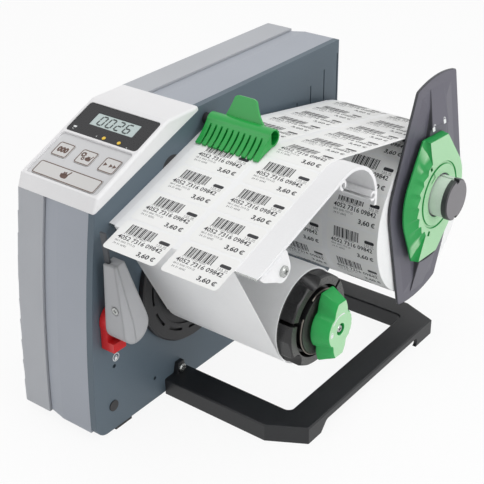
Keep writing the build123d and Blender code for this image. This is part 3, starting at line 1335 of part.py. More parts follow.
def base_screws():
    """Two pan-head screws through the lugs into the wall."""
    return [pan_head(y, BASE_SCREW_Z, WALL_OUT + LUG_T, 3.8, 2.4, LUG_T + 4) for y in lug_places()]


def housing_screws():
    """Countersunk screws of the left cover."""
    return cover_bosses(0.6, SEAM_X + 12, 1.9)


def comb_shaft():
    """Shaft in the wall that the comb turns on."""
    return rod(COMB_Y, COMB_Z, COMB_BORE_R, WALL_IN, COMB_X + COMB_SHAFT_L)


def web_comb():
    """Brake comb: round back with a D-shaped mouth, curved fingers and a flared finger tab."""
    x0, x1 = COMB_X, COMB_X + COMB_W
    tip_y, tip = -COMB_REACH, tip_height()
    heel, root = (-0.2 * COMB_R, 0.3 - COMB_R), (-0.84 * COMB_R, 0.5 * COMB_R)
    lip = (tip_y - 0.4, tip + COMB_TIP_T)
    fingers = make_face([
        Line((tip_y, tip), lip),
        ThreePointArc(lip, (0.63 * tip_y, 0.4 * tip), root),
        Line(root, heel),
        ThreePointArc(heel, (0.6 * tip_y, 0.76 * tip), (tip_y, tip)),
    ])
    body = rod(0, 0, COMB_R, x0, x1) + slab(fingers, x0, x1)
    pitch = COMB_W / COMB_FINGERS
    for k in range(1, COMB_FINGERS):
        x = x0 + k * pitch
        body -= block(x - COMB_SLOT_W / 2, x + COMB_SLOT_W / 2, tip_y - 2, -COMB_R - 0.6, -30, 10)
    body += comb_tab()
    body -= rod(0, 0, COMB_BORE_R + PIVOT_GAP, x0 - 1, x1 - 7)
    mouth = Circle(COMB_R - 1.3) & (Pos(1.8, 0) * Rectangle(2 * COMB_R - 3, 2 * COMB_R))
    body -= slab(mouth, x1 - 7, x1 + 1)
    return Pos(0, COMB_Y, COMB_Z) * body


def comb_tab():
    """Finger tab that leans back from the tube, with concave sides and rounded corners."""
    top = COMB_R + TAB_H
    waist = COMB_R + 0.35 * TAB_H
    left = ThreePointArc((-TAB_TOP_HALF_W, top), (-TAB_MID_HALF_W, waist), (-TAB_FOOT_HALF_W, 0))
    flare = (TAB_FOOT_HALF_W + TAB_FLARE, 0)
    right = ThreePointArc(flare, (TAB_MID_HALF_W + 1, waist), (TAB_TOP_HALF_W, top))
    face = make_face([
        left,
        Line((-TAB_FOOT_HALF_W, 0), flare),
        right,
        Line((TAB_TOP_HALF_W, top), (-TAB_TOP_HALF_W, top)),
    ])
    face = fillet(face.vertices().sort_by(Axis.Y)[-2:], 4.5)
    plane = Plane(origin=(TAB_X, TAB_BACK, 0), x_dir=(1, 0, 0), z_dir=(0, -1, TAB_LEAN))
    return extrude(plane * face, amount=TAB_T)


def tip_height():
    """Height of the finger tips over the labels, from the comb's axis."""
    y = COMB_Y - COMB_REACH
    lift = (WEB_GAP + WEB_T + LABEL_T + COMB_GAP) / cos(SLOPE)
    return EDGE_Z + (y - EDGE_Y) * tan(SLOPE) + lift - COMB_Z


def at_arm(shape):
    """Lean a shape drawn upright about the arm's pivot and move it there."""
    return Pos(0, ARM_Y, ARM_Z) * Rot(ARM_LEAN, 0, 0) * shape


def arm_body():
    """Outline of the sensor arm: round foot that narrows upwards, thinner at the top."""
    foot = Circle(ARM_R).faces()
    tip = (Pos(0, ARM_H - 5) * Rectangle(2 * ARM_TOP_HALF_D, 10)).faces()
    side = make_hull(Sketch([*foot, *tip]).edges())
    body = slab(side, ARM_X, ARM_X + ARM_W)
    taper = (ARM_W - ARM_TOP_W) / (ARM_H - 8)
    top = ARM_H + 1
    cut = face_of((ARM_X + ARM_W, 6), (ARM_X + ARM_W + 9, 6), (ARM_X + ARM_W + 9, top),
                  (ARM_X + ARM_W - taper * (top - 6), top))
    plane = Plane(origin=(0, ARM_R + 5, 0), x_dir=(1, 0, 0), z_dir=(0, -1, 0))
    body -= extrude(plane * cut, amount=2 * ARM_R + 10)
    body = body + rod(0, 0, ARM_HUB_R, PIVOT_X, ARM_X + 0.5)
    return body - rod(0, 0, ARM_PIN_R + PIVOT_GAP, PIVOT_X - 1, ARM_X + ARM_W - 4)


def leaf_pocket():
    """Slot in the arm's top for the sensor leaf."""
    floor = ARM_H - LEAF_SLOT_D
    return block(ARM_X - 1, LEAF_X + LEAF_W + 0.2, ARM_SEAM - 1.4, ARM_SEAM + 2.2, floor, ARM_H + 1)


def arm_screw_place():
    """X, depth of the head's seat and height of the arm's screw."""
    z = ARM_H * ARM_SCREW_H
    seat = -(ARM_R + (ARM_TOP_HALF_D - ARM_R) * z / ARM_H) + 1.4
    return ARM_X + ARM_W * 0.55, seat, z


def arm_bore(radius, y0, y1):
    """Round bar along the arm's screw between two depths."""
    x, _, z = arm_screw_place()
    return Pos(x, (y0 + y1) / 2, z) * Cylinder(radius, y1 - y0, rotation=(90, 0, 0))


def arm_half(y0, y1):
    """Arm between two depths on one side of its seam."""
    return arm_body() & block(PIVOT_X - 1, ARM_X + ARM_W + 1, y0, y1, -2 * ARM_R, ARM_H + 2)


def arm_front():
    """Front half of the arm with the screw's seat."""
    seat = arm_screw_place()[1]
    half = arm_half(-2 * ARM_R, ARM_SEAM - 0.01)
    half -= arm_bore(1.8, -40, ARM_SEAM + 1) + arm_bore(3.3, -40, seat)
    return at_arm(half - leaf_pocket())


def arm_rear():
    """Rear half of the arm with the hub."""
    half = arm_half(ARM_SEAM + 0.01, 2 * ARM_R)
    return at_arm(half - leaf_pocket() - arm_bore(1.8, ARM_SEAM - 1, ARM_SEAM + 6))


def arm_screw():
    """Cross-head screw that joins the two halves of the arm."""
    x, seat, z = arm_screw_place()
    cross = Box(3.2, 1.6, 0.8) + Box(0.8, 1.6, 3.2)
    head = arm_bore(3.0, seat - 1.8, seat) - Pos(x, seat - 1.8, z) * cross
    return at_arm(head + arm_bore(1.7, seat - 0.1, ARM_SEAM + 5))


def sensor_leaf():
    """Leaf of the label sensor that stands out of the arm beside the labels."""
    floor = ARM_H - LEAF_SLOT_D + 0.1
    leaf = block(LEAF_X, LEAF_X + LEAF_W, ARM_SEAM - 0.6, ARM_SEAM - 0.6 + LEAF_T, floor, ARM_H + LEAF_H)
    return at_arm(leaf)


def lock_lever():
    """Red locking lever: ring round the arm's hub with a thumb piece below."""
    x1 = PIVOT_X + LEVER_RING_T
    body = rod(0, 0, LEVER_RING_R, PIVOT_X, x1)
    body += block(PIVOT_X, x1, -LEVER_D + 0.6, 0.6, -LEVER_DROP, 0)
    body += block(x1 - 1, PIVOT_X + LEVER_W, -LEVER_D + 0.6, 0.6, -LEVER_DROP, -ARM_R - 0.8)
    body -= rod(0, 0, ARM_HUB_R + PIVOT_GAP, PIVOT_X - 1, x1 + 1)
    return Pos(0, ARM_Y, ARM_Z) * body


def pivot_pin():
    """Pin in the wall that carries the arm and its lever."""
    return rod(ARM_Y, ARM_Z, ARM_PIN_R, WALL_IN, ARM_X + ARM_W - 4.4)


KEY_NODES = ("key_clear", "key_mode", "key_feed", "key_dispense")

NODES = {
    "side_wall": side_wall,
    "center_frame": center_frame,
    "left_cover": left_cover,
    "rubber_feet": rubber_feet,
    "housing_screws": housing_screws,
    "wall_plugs": wall_plugs,
    "panel_bezel": panel_bezel,
    "keypad_plate": keypad_plate,
    "display_window": display_window,
    "lcd_panel": lcd_panel,
    "indicator_lamps": indicator_lamps,
    "control_board": control_board,
    "power_supply": power_supply,
    "rear_inlet": rear_inlet,
    "power_rocker": power_rocker,
    "base_frame": base_frame,
    "base_screws": base_screws,
    "plate_profile": plate_profile,
    "edge_strip": edge_strip,
    "end_bracket": end_bracket,
    "plate_screws": plate_screws,
    "label_web": label_web,
    "liner_return": liner_return,
    "dispensed_labels": dispensed_labels,
    "web_labels": web_labels,
    "supply_boss": supply_boss,
    "supply_tube": supply_tube,
    "tube_cap": tube_cap,
    "roll_core": roll_core,
    "label_roll": label_roll,
    "flange_blade": flange_blade,
    "flange_ring": flange_ring,
    "rewinder_disc": rewinder_disc,
    "hub_carrier": hub_carrier,
    "wound_liner": wound_liner,
    "rewinder_shaft": rewinder_shaft,
    "rewinder_bearings": rewinder_bearings,
    "clip_ring": clip_ring,
    "rewinder_knob": rewinder_knob,
    "knob_screw": knob_screw,
    "rewinder_pulley": rewinder_pulley,
    "motor_pulley": motor_pulley,
    "drive_motor": drive_motor,
    "drive_belt": drive_belt,
    "comb_shaft": comb_shaft,
    "web_comb": web_comb,
    "arm_front": arm_front,
    "arm_rear": arm_rear,
    "arm_screw": arm_screw,
    "sensor_leaf": sensor_leaf,
    "lock_lever": lock_lever,
    "pivot_pin": pivot_pin,
}


def origin_shift():
    """Middle of the footprint: left cover to the furthest knob or cap, covers' foot to the roll."""
    right = max(TUBE_END_X + CAP_T, KNOB_X + KNOB_T)
    rear = ROLL_Y + ROLL_R - WEB_T
    return Pos(-right / 2, -rear / 2, 0)


def place(shape):
    """Move a piece, or a list of pieces, into the part's own frame."""
    solids = shape if isinstance(shape, list) else [shape]
    moved = [origin_shift() * s for s in solids]
    return moved[0] if len(moved) == 1 else Compound(children=moved)


def main():
    """Build every piece and write one file per node."""
    for name, make in NODES.items():
        export_step(place(make()), f"parts/{name}.step")
    for k, name in enumerate(KEY_NODES):
        export_step(place(key_cap(k)), f"parts/{name}.step")
    for k in range(HUB_SPLITS):
        export_step(place(hub_segment(k)), f"parts/hub_segment_{k + 1}.step")


if __name__ == "__main__":
    main()
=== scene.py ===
"""Desktop label dispenser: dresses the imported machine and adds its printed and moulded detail."""
import json
import logging
from dataclasses import dataclass, field
from enum import Enum
from math import asin, atan2, cos, degrees, hypot, pi, radians, sin, sqrt
from typing import Callable, Sequence

import bmesh
import bpy
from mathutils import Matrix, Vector

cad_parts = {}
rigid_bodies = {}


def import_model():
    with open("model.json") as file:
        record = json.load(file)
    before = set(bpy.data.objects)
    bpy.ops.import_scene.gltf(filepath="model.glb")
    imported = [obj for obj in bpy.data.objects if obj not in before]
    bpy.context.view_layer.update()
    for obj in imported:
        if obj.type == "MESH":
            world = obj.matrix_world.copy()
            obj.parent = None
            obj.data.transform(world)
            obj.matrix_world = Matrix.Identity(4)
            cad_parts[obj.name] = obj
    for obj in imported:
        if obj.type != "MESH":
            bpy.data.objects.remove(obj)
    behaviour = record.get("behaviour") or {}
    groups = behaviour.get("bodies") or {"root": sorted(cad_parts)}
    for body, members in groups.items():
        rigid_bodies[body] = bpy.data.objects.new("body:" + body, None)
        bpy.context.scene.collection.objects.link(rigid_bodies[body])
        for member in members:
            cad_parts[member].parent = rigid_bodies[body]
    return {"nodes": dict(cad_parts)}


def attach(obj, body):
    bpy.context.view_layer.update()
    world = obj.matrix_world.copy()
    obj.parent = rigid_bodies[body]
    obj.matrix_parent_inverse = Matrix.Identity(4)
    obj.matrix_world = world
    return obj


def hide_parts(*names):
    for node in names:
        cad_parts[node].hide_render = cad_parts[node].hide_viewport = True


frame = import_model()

logging.basicConfig(level=logging.INFO, format="%(message)s")
LOG = logging.getLogger("dispenser")
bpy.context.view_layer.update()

Point = tuple[float, float]
Colour = tuple[float, float, float]
Place = Callable[[float, float, float], Sequence[float]]
Tree = bpy.types.NodeTree
Socket = bpy.types.NodeSocket
Piece = bpy.types.Object

# The middle of the footprint, from the housing's left front foot, in millimetres.
SHIFT_X = 112.0
SHIFT_Y = 178.35

# Gap in millimetres between a print and the surface that it lies on.
PRINT_LIFT = 0.03
# Height of a figure in a text of size one.
FIGURE_HEIGHT = 0.7
# Faces that meet at less than this many degrees are shaded as one.
SMOOTH_BELOW = 24


def at(x: float, y: float, z: float) -> Vector:
    """Metres in the part's frame for millimetres from the housing's left front foot."""
    return Vector(((x - SHIFT_X) / 1000, (y - SHIFT_Y) / 1000, z / 1000))


# Finishes


class Grain(Enum):
    """How a surface's fine relief is made."""

    ORANGE_PEEL = "orange peel"
    MOULDED = "moulded"
    BRUSHED = "brushed"
    PAPER = "paper"
    TURNED = "turned"
    SMOOTH = "smooth"


STRETCH = {Grain.BRUSHED: (0.03, 1.0, 1.0), Grain.TURNED: (1.0, 0.2, 0.2), Grain.PAPER: (1.0, 0.6, 1.0)}


@dataclass(frozen=True)
class Finish:
    """One surface finish, made as a node material on Object coordinates."""

    name: str
    colour: Colour
    rough: float = 0.5
    metal: float = 0.0
    grain: Grain = Grain.MOULDED
    scale: float = 1400.0
    bump: float = 0.08
    vary: float = 0.05
    coat: float = 0.0
    edge: float = 0.0004
    # Pale colour painted on the faces along +X: a painted sheen with a fine speckle. None leaves the faces
    # plain.
    painted_sheen_and_speckle: Colour | None = None

    def material(self) -> bpy.types.Material:
        """Build the finish's material.

        Returns:
            The node material, made once for each finish.
        """
        found = bpy.data.materials.get(self.name)
        if found is not None:
            return found
        mat = bpy.data.materials.new(self.name)
        mat.use_nodes = True
        net = mat.node_tree
        shader = net.nodes["Principled BSDF"]
        shader.inputs["Metallic"].default_value = self.metal
        shader.inputs["Coat Weight"].default_value = self.coat
        shader.inputs["Coat Roughness"].default_value = 0.15
        coord = net.nodes.new("ShaderNodeTexCoord").outputs["Object"]
        cloud = noise(net, coord, 14.0, 3.0)
        fine = noise(net, self.stretch(net, coord), self.scale, 2.0)
        colour = self.tint(net, cloud, fine)
        # Painted sheen: the faces along +X get a paler, speckled colour.
        if self.painted_sheen_and_speckle is not None:
            colour = self.paint_sheen_and_speckle(net, colour, fine)
        net.links.new(colour, shader.inputs["Base Color"])
        net.links.new(spread(net, fine, self.rough - 0.06, self.rough + 0.08), shader.inputs["Roughness"])
        net.links.new(self.relief(net, fine), shader.inputs["Normal"])
        return mat

    def stretch(self, net: Tree, coord: Socket) -> Socket:
        """Stretch the coordinates where the finish has a direction.

        Args:
            net: The material's node tree.
            coord: The Object coordinates.

        Returns:
            The coordinates that the fine noise reads.
        """
        if self.grain not in STRETCH:
            return coord
        mapping = net.nodes.new("ShaderNodeMapping")
        mapping.inputs["Scale"].default_value = STRETCH[self.grain]
        net.links.new(coord, mapping.inputs["Vector"])
        return mapping.outputs["Vector"]

    def tint(self, net: Tree, cloud: Socket, fine: Socket) -> Socket:
        """Vary the base colour in broad clouds with a little fine speckle.

        Args:
            net: The material's node tree.
            cloud: Broad noise.
            fine: Fine noise.

        Returns:
            The colour socket.
        """
        both = net.nodes.new("ShaderNodeMath")
        both.operation = "MULTIPLY_ADD"
        both.inputs[1].default_value = 0.35
        net.links.new(fine, both.inputs[0])
        net.links.new(cloud, both.inputs[2])
        ramp = net.nodes.new("ShaderNodeValToRGB")
        low, high = (tuple(min(1.0, c * (1 + s * self.vary)) for c in self.colour) for s in (-1, 1))
        ramp.color_ramp.elements[0].position = 0.35
        ramp.color_ramp.elements[0].color = (*low, 1)
        ramp.color_ramp.elements[1].position = 1.0
        ramp.color_ramp.elements[1].color = (*high, 1)
        net.links.new(both.outputs[0], ramp.inputs[0])
        return ramp.outputs[0]

    def paint_sheen_and_speckle(self, net: Tree, colour: Socket, fine: Socket) -> Socket:
        """Pale colour with a fine speckle painted on the faces that look along +X: a painted sheen that
        stands in for light reflected from those faces, with the speckle of a spark-erosion texture.

        Args:
            net: The material's node tree.
            colour: The plastic's own colour.
            fine: Fine noise.

        Returns:
            The colour socket.
        """
        parts = net.nodes.new("ShaderNodeSeparateXYZ")
        net.links.new(net.nodes.new("ShaderNodeTexCoord").outputs["Normal"], parts.inputs[0])
        # Mask of the faces along +X, where the sheen is painted.
        sheen_face_mask = net.nodes.new("ShaderNodeMapRange")
        sheen_face_mask.interpolation_type = "SMOOTHSTEP"
        sheen_face_mask.inputs["From Min"].default_value = 0.935
        sheen_face_mask.inputs["From Max"].default_value = 0.972
        net.links.new(parts.outputs["X"], sheen_face_mask.inputs["Value"])
        share = net.nodes.new("ShaderNodeMath")
        share.operation = "MULTIPLY"
        net.links.new(sheen_face_mask.outputs[0], share.inputs[0])
        net.links.new(spread(net, fine, 0.62, 1.0), share.inputs[1])
        mix = net.nodes.new("ShaderNodeMix")
        mix.data_type = "RGBA"
        mix.inputs["B"].default_value = (*self.painted_sheen_and_speckle, 1)
        net.links.new(share.outputs[0], mix.inputs["Factor"])
        net.links.new(colour, mix.inputs["A"])
        return mix.outputs["Result"]

    def relief(self, net: Tree, fine: Socket) -> Socket:
        """Bump from the fine noise over edges that are softened a little.

        Args:
            net: The material's node tree.
            fine: Fine noise.

        Returns:
            The normal socket.
        """
        soft = net.nodes.new("ShaderNodeBevel")
        soft.samples = 4
        soft.inputs["Radius"].default_value = self.edge
        bump = net.nodes.new("ShaderNodeBump")
        bump.inputs["Strength"].default_value = self.bump
        bump.inputs["Distance"].default_value = 0.0003
        net.links.new(fine, bump.inputs["Height"])
        net.links.new(soft.outputs[0], bump.inputs["Normal"])
        return bump.outputs[0]


def noise(net: Tree, coord: Socket, scale: float, detail: float) -> Socket:
    """Noise on given coordinates.

    Args:
        net: The material's node tree.
        coord: Coordinates to read.
        scale: Noise scale.
        detail: Noise detail.

    Returns:
        The noise factor.
    """
    node = net.nodes.new("ShaderNodeTexNoise")
    node.inputs["Scale"].default_value = scale
    node.inputs["Detail"].default_value = detail
    net.links.new(coord, node.inputs["Vector"])
    return node.outputs[0]


def spread(net: Tree, value: Socket, low: float, high: float) -> Socket:
    """Map a noise factor to a range of values.

    Args:
        net: The material's node tree.
        value: Value to map.
        low: Result at 0.25.
        high: Result at 0.75.

    Returns:
        The mapped value.
    """
    node = net.nodes.new("ShaderNodeMapRange")
    for socket, number in zip(node.inputs[1:5], (0.25, 0.75, max(0.02, low), high)):
        socket.default_value = number
    net.links.new(value, node.inputs[0])
    return node.outputs[0]


COVER = Finish("cover_paint", (0.45, 0.465, 0.495), 0.45, grain=Grain.ORANGE_PEEL, scale=900, bump=0.05)
BAND = Finish("band_paint", (0.37, 0.395, 0.445), 0.42, grain=Grain.ORANGE_PEEL, scale=900, bump=0.05)
WALL = Finish("wall_paint", (0.092, 0.127, 0.158), 0.5, grain=Grain.ORANGE_PEEL, scale=1100, bump=0.06)
BEZEL = Finish("bezel_plastic", (0.87, 0.865, 0.875), 0.45)
KEYPAD = Finish("keypad_film", (0.66, 0.66, 0.67), 0.5)
KEY = Finish("key_cap", (0.68, 0.67, 0.66), 0.45)
WINDOW = Finish("window_tint", (0.006, 0.006, 0.008), 0.3, grain=Grain.SMOOTH, bump=0.01)
LCD = Finish("lcd_film", (0.55, 0.64, 0.63), 0.3, grain=Grain.SMOOTH, bump=0.01)
LAMP = Finish("lamp_lens", (0.95, 0.62, 0.03), 0.2, grain=Grain.SMOOTH, bump=0.01, coat=0.6)
BOARD = Finish("solder_mask", (0.02, 0.16, 0.07), 0.35)
BARE = Finish("bare_metal", (0.55, 0.55, 0.53), 0.4, 1.0, Grain.BRUSHED)
BLACK = Finish("black_moulding", (0.015, 0.015, 0.017), 0.5)
RUBBER = Finish("foot_rubber", (0.02, 0.02, 0.02), 0.8, bump=0.15)
ZINC = Finish("zinc_plate", (0.46, 0.47, 0.46), 0.25, 1.0, Grain.TURNED, scale=2600)
WIRE = Finish("spring_wire", (0.20, 0.18, 0.16), 0.35, 1.0, Grain.TURNED, scale=2600)
BASE = Finish("powder_coat", (0.009, 0.010, 0.012), 0.45, scale=1500, bump=0.14)
PLATE = Finish("plate_enamel", (0.88, 0.88, 0.89), 0.34, grain=Grain.ORANGE_PEEL, scale=700, bump=0.012)
LINER = Finish(
    "glazed_liner", (0.94, 0.945, 0.95), 0.4, grain=Grain.PAPER, scale=420, bump=0.012, edge=0.0001
)
LABEL = Finish("label_paper", (0.84, 0.84, 0.84), 0.55, grain=Grain.PAPER, scale=1200, bump=0.05, edge=0.0)
CORE = Finish("wound_board", (0.42, 0.30, 0.19), 0.85, grain=Grain.PAPER, scale=500, bump=0.2)
TUBE = Finish("tube_moulding", (0.76, 0.85, 0.77), 0.4, scale=1800, bump=0.2, vary=0.2)
# Its pale colour on the faces along +X is a painted sheen.
CAP = Finish("cap_moulding", (0.035, 0.035, 0.04), 0.4, bump=0.12, painted_sheen_and_speckle=(0.22, 0.21, 0.225))
# Its pale lilac colour on the faces along +X is a painted sheen.
BLADE = Finish(
    "blade_moulding", (0.045, 0.046, 0.054), 0.42, bump=0.06, edge=0.002, painted_sheen_and_speckle=(0.125, 0.12, 0.155)
)
DARK = Finish("dark_moulding", (0.055, 0.06, 0.068), 0.42)
GREEN = Finish("green_moulding", (0.008, 0.36, 0.055), 0.33, bump=0.04, coat=0.3)
# Pale green on the faces along +X is a painted sheen; its speckle stands for the textured face of the mould.
GREEN_GRIP = Finish(
    "green_grip", (0.008, 0.36, 0.07), 0.45, scale=1500, bump=0.25, vary=0.3, painted_sheen_and_speckle=(0.50, 0.80, 0.50)
)
RED = Finish("red_moulding", (0.60, 0.012, 0.015), 0.32, bump=0.04, coat=0.2)
ARM = Finish("arm_moulding", (0.42, 0.425, 0.44), 0.45, edge=0.003)
# Its paler colour on the faces along +X is a painted sheen.
HUB = Finish("hub_moulding", (0.010, 0.010, 0.011), 0.3, bump=0.05, painted_sheen_and_speckle=(0.06, 0.06, 0.057))
BELT = Finish("belt_rubber", (0.02, 0.02, 0.02), 0.75)
MOTOR = Finish("motor_paint", (0.10, 0.10, 0.11), 0.5)
PULLEY = Finish("pulley_metal", (0.7, 0.7, 0.7), 0.35, 1.0, Grain.TURNED)

NODE_FINISH: dict[Finish, tuple[str, ...]] = {
    COVER: ("left_cover",),
    BAND: ("center_frame",),
    WALL: ("side_wall",),
    BEZEL: ("panel_bezel",),
    KEYPAD: ("keypad_plate",),
    KEY: ("key_clear", "key_mode", "key_feed", "key_dispense"),
    WINDOW: ("display_window",),
    LCD: ("lcd_panel",),
    LAMP: ("indicator_lamps",),
    BOARD: ("control_board",),
    BARE: ("power_supply",),
    BLACK: ("rear_inlet", "power_rocker", "wall_plugs", "rewinder_disc", "comb_shaft"),
    RUBBER: ("rubber_feet",),
    ZINC: (
        "housing_screws", "base_screws", "plate_screws", "edge_strip", "rewinder_shaft", "rewinder_bearings",
        "knob_screw", "arm_screw", "pivot_pin",
    ),
    WIRE: ("clip_ring",),
    BASE: ("base_frame",),
    PLATE: ("plate_profile", "end_bracket"),
    LINER: ("label_web", "liner_return", "label_roll", "wound_liner"),
    LABEL: ("dispensed_labels", "web_labels"),
    CORE: ("roll_core",),
    TUBE: ("supply_tube",),
    DARK: ("supply_boss", "sensor_leaf"),
    CAP: ("tube_cap",),
    BLADE: ("flange_blade",),
    GREEN: ("web_comb",),
    GREEN_GRIP: ("flange_ring", "rewinder_knob"),
    HUB: ("hub_carrier", "hub_segment_1", "hub_segment_2", "hub_segment_3"),
    ARM: ("arm_front", "arm_rear"),
    RED: ("lock_lever",),
    BELT: ("drive_belt",),
    MOTOR: ("drive_motor",),
    PULLEY: ("rewinder_pulley", "motor_pulley"),
}


def dress_nodes() -> None:
    """Give every CAD node its finish."""
    for finish, names in NODE_FINISH.items():
        for name in names:
            mesh = frame["nodes"][name].data
            mesh.materials.clear()
            mesh.materials.append(finish.material())
            LOG.info("dressed %s in %s", name, finish.name)


INK = Finish("print_ink", (0.018, 0.018, 0.022), 0.6, grain=Grain.SMOOTH, bump=0.01, edge=0.0)
PALE_INK = Finish("small_print_ink", (0.05, 0.05, 0.055), 0.6, grain=Grain.SMOOTH, bump=0.01, edge=0.0)
KEY_INK = Finish("key_print", (0.115, 0.065, 0.05), 0.5, grain=Grain.SMOOTH, bump=0.01, edge=0.0)
WHITE_INK = Finish("white_print", (0.80, 0.82, 0.82), 0.5, grain=Grain.SMOOTH, bump=0.01, edge=0.0)
DIGIT = Finish("lcd_digit", (0.02, 0.03, 0.03), 0.3, grain=Grain.SMOOTH, bump=0.01, edge=0.0)


# Flat shapes that are drawn in one plane and then laid on a surface


def clear_selection() -> None:
    """Leave edit mode and deselect everything."""
    if bpy.context.object is not None and bpy.context.object.mode != "OBJECT":
        bpy.ops.object.mode_set(mode="OBJECT")
    bpy.ops.object.select_all(action="DESELECT")


def select_only(piece: Piece) -> None:
    """Select one piece alone and make it the active one.

    Args:
        piece: The piece.
    """
    clear_selection()
    bpy.context.view_layer.objects.active = piece
    piece.select_set(True)


def shift_mesh(piece: Piece, place: Place) -> None:
    """Move every vertex of a mesh to the place that a function gives.

    Args:
        piece: The mesh object.
        place: Gives the new place, in metres, for a vertex drawn in millimetres.
    """
    for vertex in piece.data.vertices:
        vertex.co = Vector(place(*vertex.co))
    piece.data.update()


def dress(piece: Piece, finish: Finish, body: str) -> None:
    """Give a piece its finish and the body it rides on.

    Args:
        piece: The piece.
        finish: Its finish.
        body: Name of the CAD body.
    """
    piece.data.materials.clear()
    piece.data.materials.append(finish.material())
    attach(piece, body)
    LOG.info("made %s on %s in %s, %d faces", piece.name, body, finish.name, len(piece.data.polygons))


@dataclass
class Drawing:
    """Flat shapes in one mesh, drawn in millimetres in the plane of X and Y."""

    name: str
    piece: Piece | None = None
    extra: list[Piece] = field(default_factory=list)

    def __post_init__(self) -> None:
        """Start an empty mesh in edit mode."""
        clear_selection()
        bpy.ops.mesh.primitive_plane_add(size=1)
        self.piece = bpy.context.object
        self.piece.name = self.name
        bpy.ops.object.mode_set(mode="EDIT")
        bpy.ops.mesh.select_all(action="SELECT")
        bpy.ops.mesh.delete(type="VERT")

    def move(self, u: float, v: float, turn: float) -> None:
        """Turn the new shape about its own middle and move it to its place.

        Args:
            u: Place across.
            v: Place upwards.
            turn: Degrees, counted the usual way.
        """
        if turn:
            bpy.ops.transform.rotate(value=radians(-turn), orient_axis="Z", center_override=(0, 0, 0))
        bpy.ops.transform.translate(value=(u, v, 0))

    def bar(
        self, u: float, v: float, w: float, h: float, corner: float = 0.0, turn: float = 0.0
    ) -> "Drawing":
        """Add a rectangle.

        Args:
            u: Middle across.
            v: Middle upwards.
            w: Width.
            h: Height.
            corner: Radius of its corners.
            turn: Degrees it is turned.

        Returns:
            The drawing.
        """
        bpy.ops.mesh.primitive_plane_add(size=1)
        bpy.ops.transform.resize(value=(w, h, 1), center_override=(0, 0, 0))
        if corner:
            bpy.ops.mesh.bevel(offset=corner, segments=4, affect="VERTICES")
        bpy.ops.mesh.select_linked()
        self.move(u, v, turn)
        return self

    def frame(self, u: float, v: float, w: float, h: float, corner: float, line: float) -> "Drawing":
        """Add the outline of a rectangle with round corners.

        Args:
            u: Middle across.
            v: Middle upwards.
            w: Outer width.
            h: Outer height.
            corner: Outer radius of its corners.
            line: Width of the line.

        Returns:
            The drawing.
        """
        bpy.ops.mesh.primitive_plane_add(size=1)
        bpy.ops.transform.resize(value=(w, h, 1), center_override=(0, 0, 0))
        bpy.ops.mesh.bevel(offset=corner, segments=5, affect="VERTICES")
        bpy.ops.mesh.select_linked()
        self.move(u, v, 0)
        bpy.ops.mesh.inset(thickness=line)
        bpy.ops.mesh.delete(type="FACE")
        return self

    def disc(self, u: float, v: float, r: float, sides: int = 24, turn: float = 0.0) -> "Drawing":
        """Add a round or many-sided patch.

        Args:
            u: Middle across.
            v: Middle upwards.
            r: Radius to the corners.
            sides: Number of corners.
            turn: Degrees it is turned.

        Returns:
            The drawing.
        """
        bpy.ops.mesh.primitive_circle_add(vertices=sides, radius=r, fill_type="NGON")
        self.move(u, v, turn)
        return self

    def band(
        self, u: float, v: float, r: float, line: float, start: float = 0.0, stop: float = 360.0
    ) -> "Drawing":
        """Add a ring or a part of one.

        Args:
            u: Middle across.
            v: Middle upwards.
            r: Outer radius.
            line: Width of the line.
            start: Degrees where the part starts.
            stop: Degrees where it stops.

        Returns:
            The drawing.
        """
        bpy.ops.mesh.primitive_circle_add(vertices=48, radius=r, fill_type="NGON")
        bpy.ops.mesh.inset(thickness=line)
        bpy.ops.mesh.delete(type="FACE")
        bpy.ops.mesh.select_all(action="DESELECT")
        fresh = self.between(r, line)
        for face in fresh:
            middle = face.calc_center_median()
            angle = degrees(atan2(middle.y, middle.x)) % 360
            face.select_set(not (start <= angle <= stop or start <= angle - 360 <= stop))
        bmesh.update_edit_mesh(self.piece.data)
        if any(f.select for f in fresh):
            bpy.ops.mesh.delete(type="FACE")
            fresh = self.between(r, line)
        for face in fresh:
            face.select_set(True)
        bmesh.update_edit_mesh(self.piece.data)
        self.move(u, v, 0)
        return self

    def between(self, r: float, line: float) -> list[bmesh.types.BMFace]:
        """Faces of the ring that was just made round the middle.

        Args:
            r: Its outer radius.
            line: Width of its line.

        Returns:
            The faces.
        """
        def near(vertex: bmesh.types.BMVert) -> bool:
            """Whether a vertex lies on the ring's outer or inner edge."""
            away = vertex.co.length - r
            return abs(away) < 1e-4 or abs(away + line) < line / 2

        return [f for f in bmesh.from_edit_mesh(self.piece.data).faces if all(map(near, f.verts))]

    def figures(
        self, body: str, u: float, v: float, width: float, height: float, weight: float = 0.0
    ) -> "Drawing":
        """Add a line of plain figures, fitted to a width and a height.

        Args:
            body: The figures.
            u: Left end.
            v: Foot of the line.
            width: Width of the whole line.
            height: Height of a figure.
            weight: How much thicker the strokes are.

        Returns:
            The drawing.
        """
        clear_selection()
        bpy.ops.object.text_add()
        text = bpy.context.object
        text.data.body = body
        text.data.resolution_u = 2
        text.data.offset = weight
        bpy.ops.object.convert(target="MESH")
        text = bpy.context.object
        across = [vertex.co.x for vertex in text.data.vertices]
        low, high = min(across), max(across)
        for vertex in text.data.vertices:
            vertex.co.x = u + (vertex.co.x - low) * width / (high - low)
            vertex.co.y = v + vertex.co.y * height / FIGURE_HEIGHT
        self.extra.append(text)
        select_only(self.piece)
        bpy.ops.object.mode_set(mode="EDIT")
        bpy.ops.mesh.select_all(action="DESELECT")
        return self

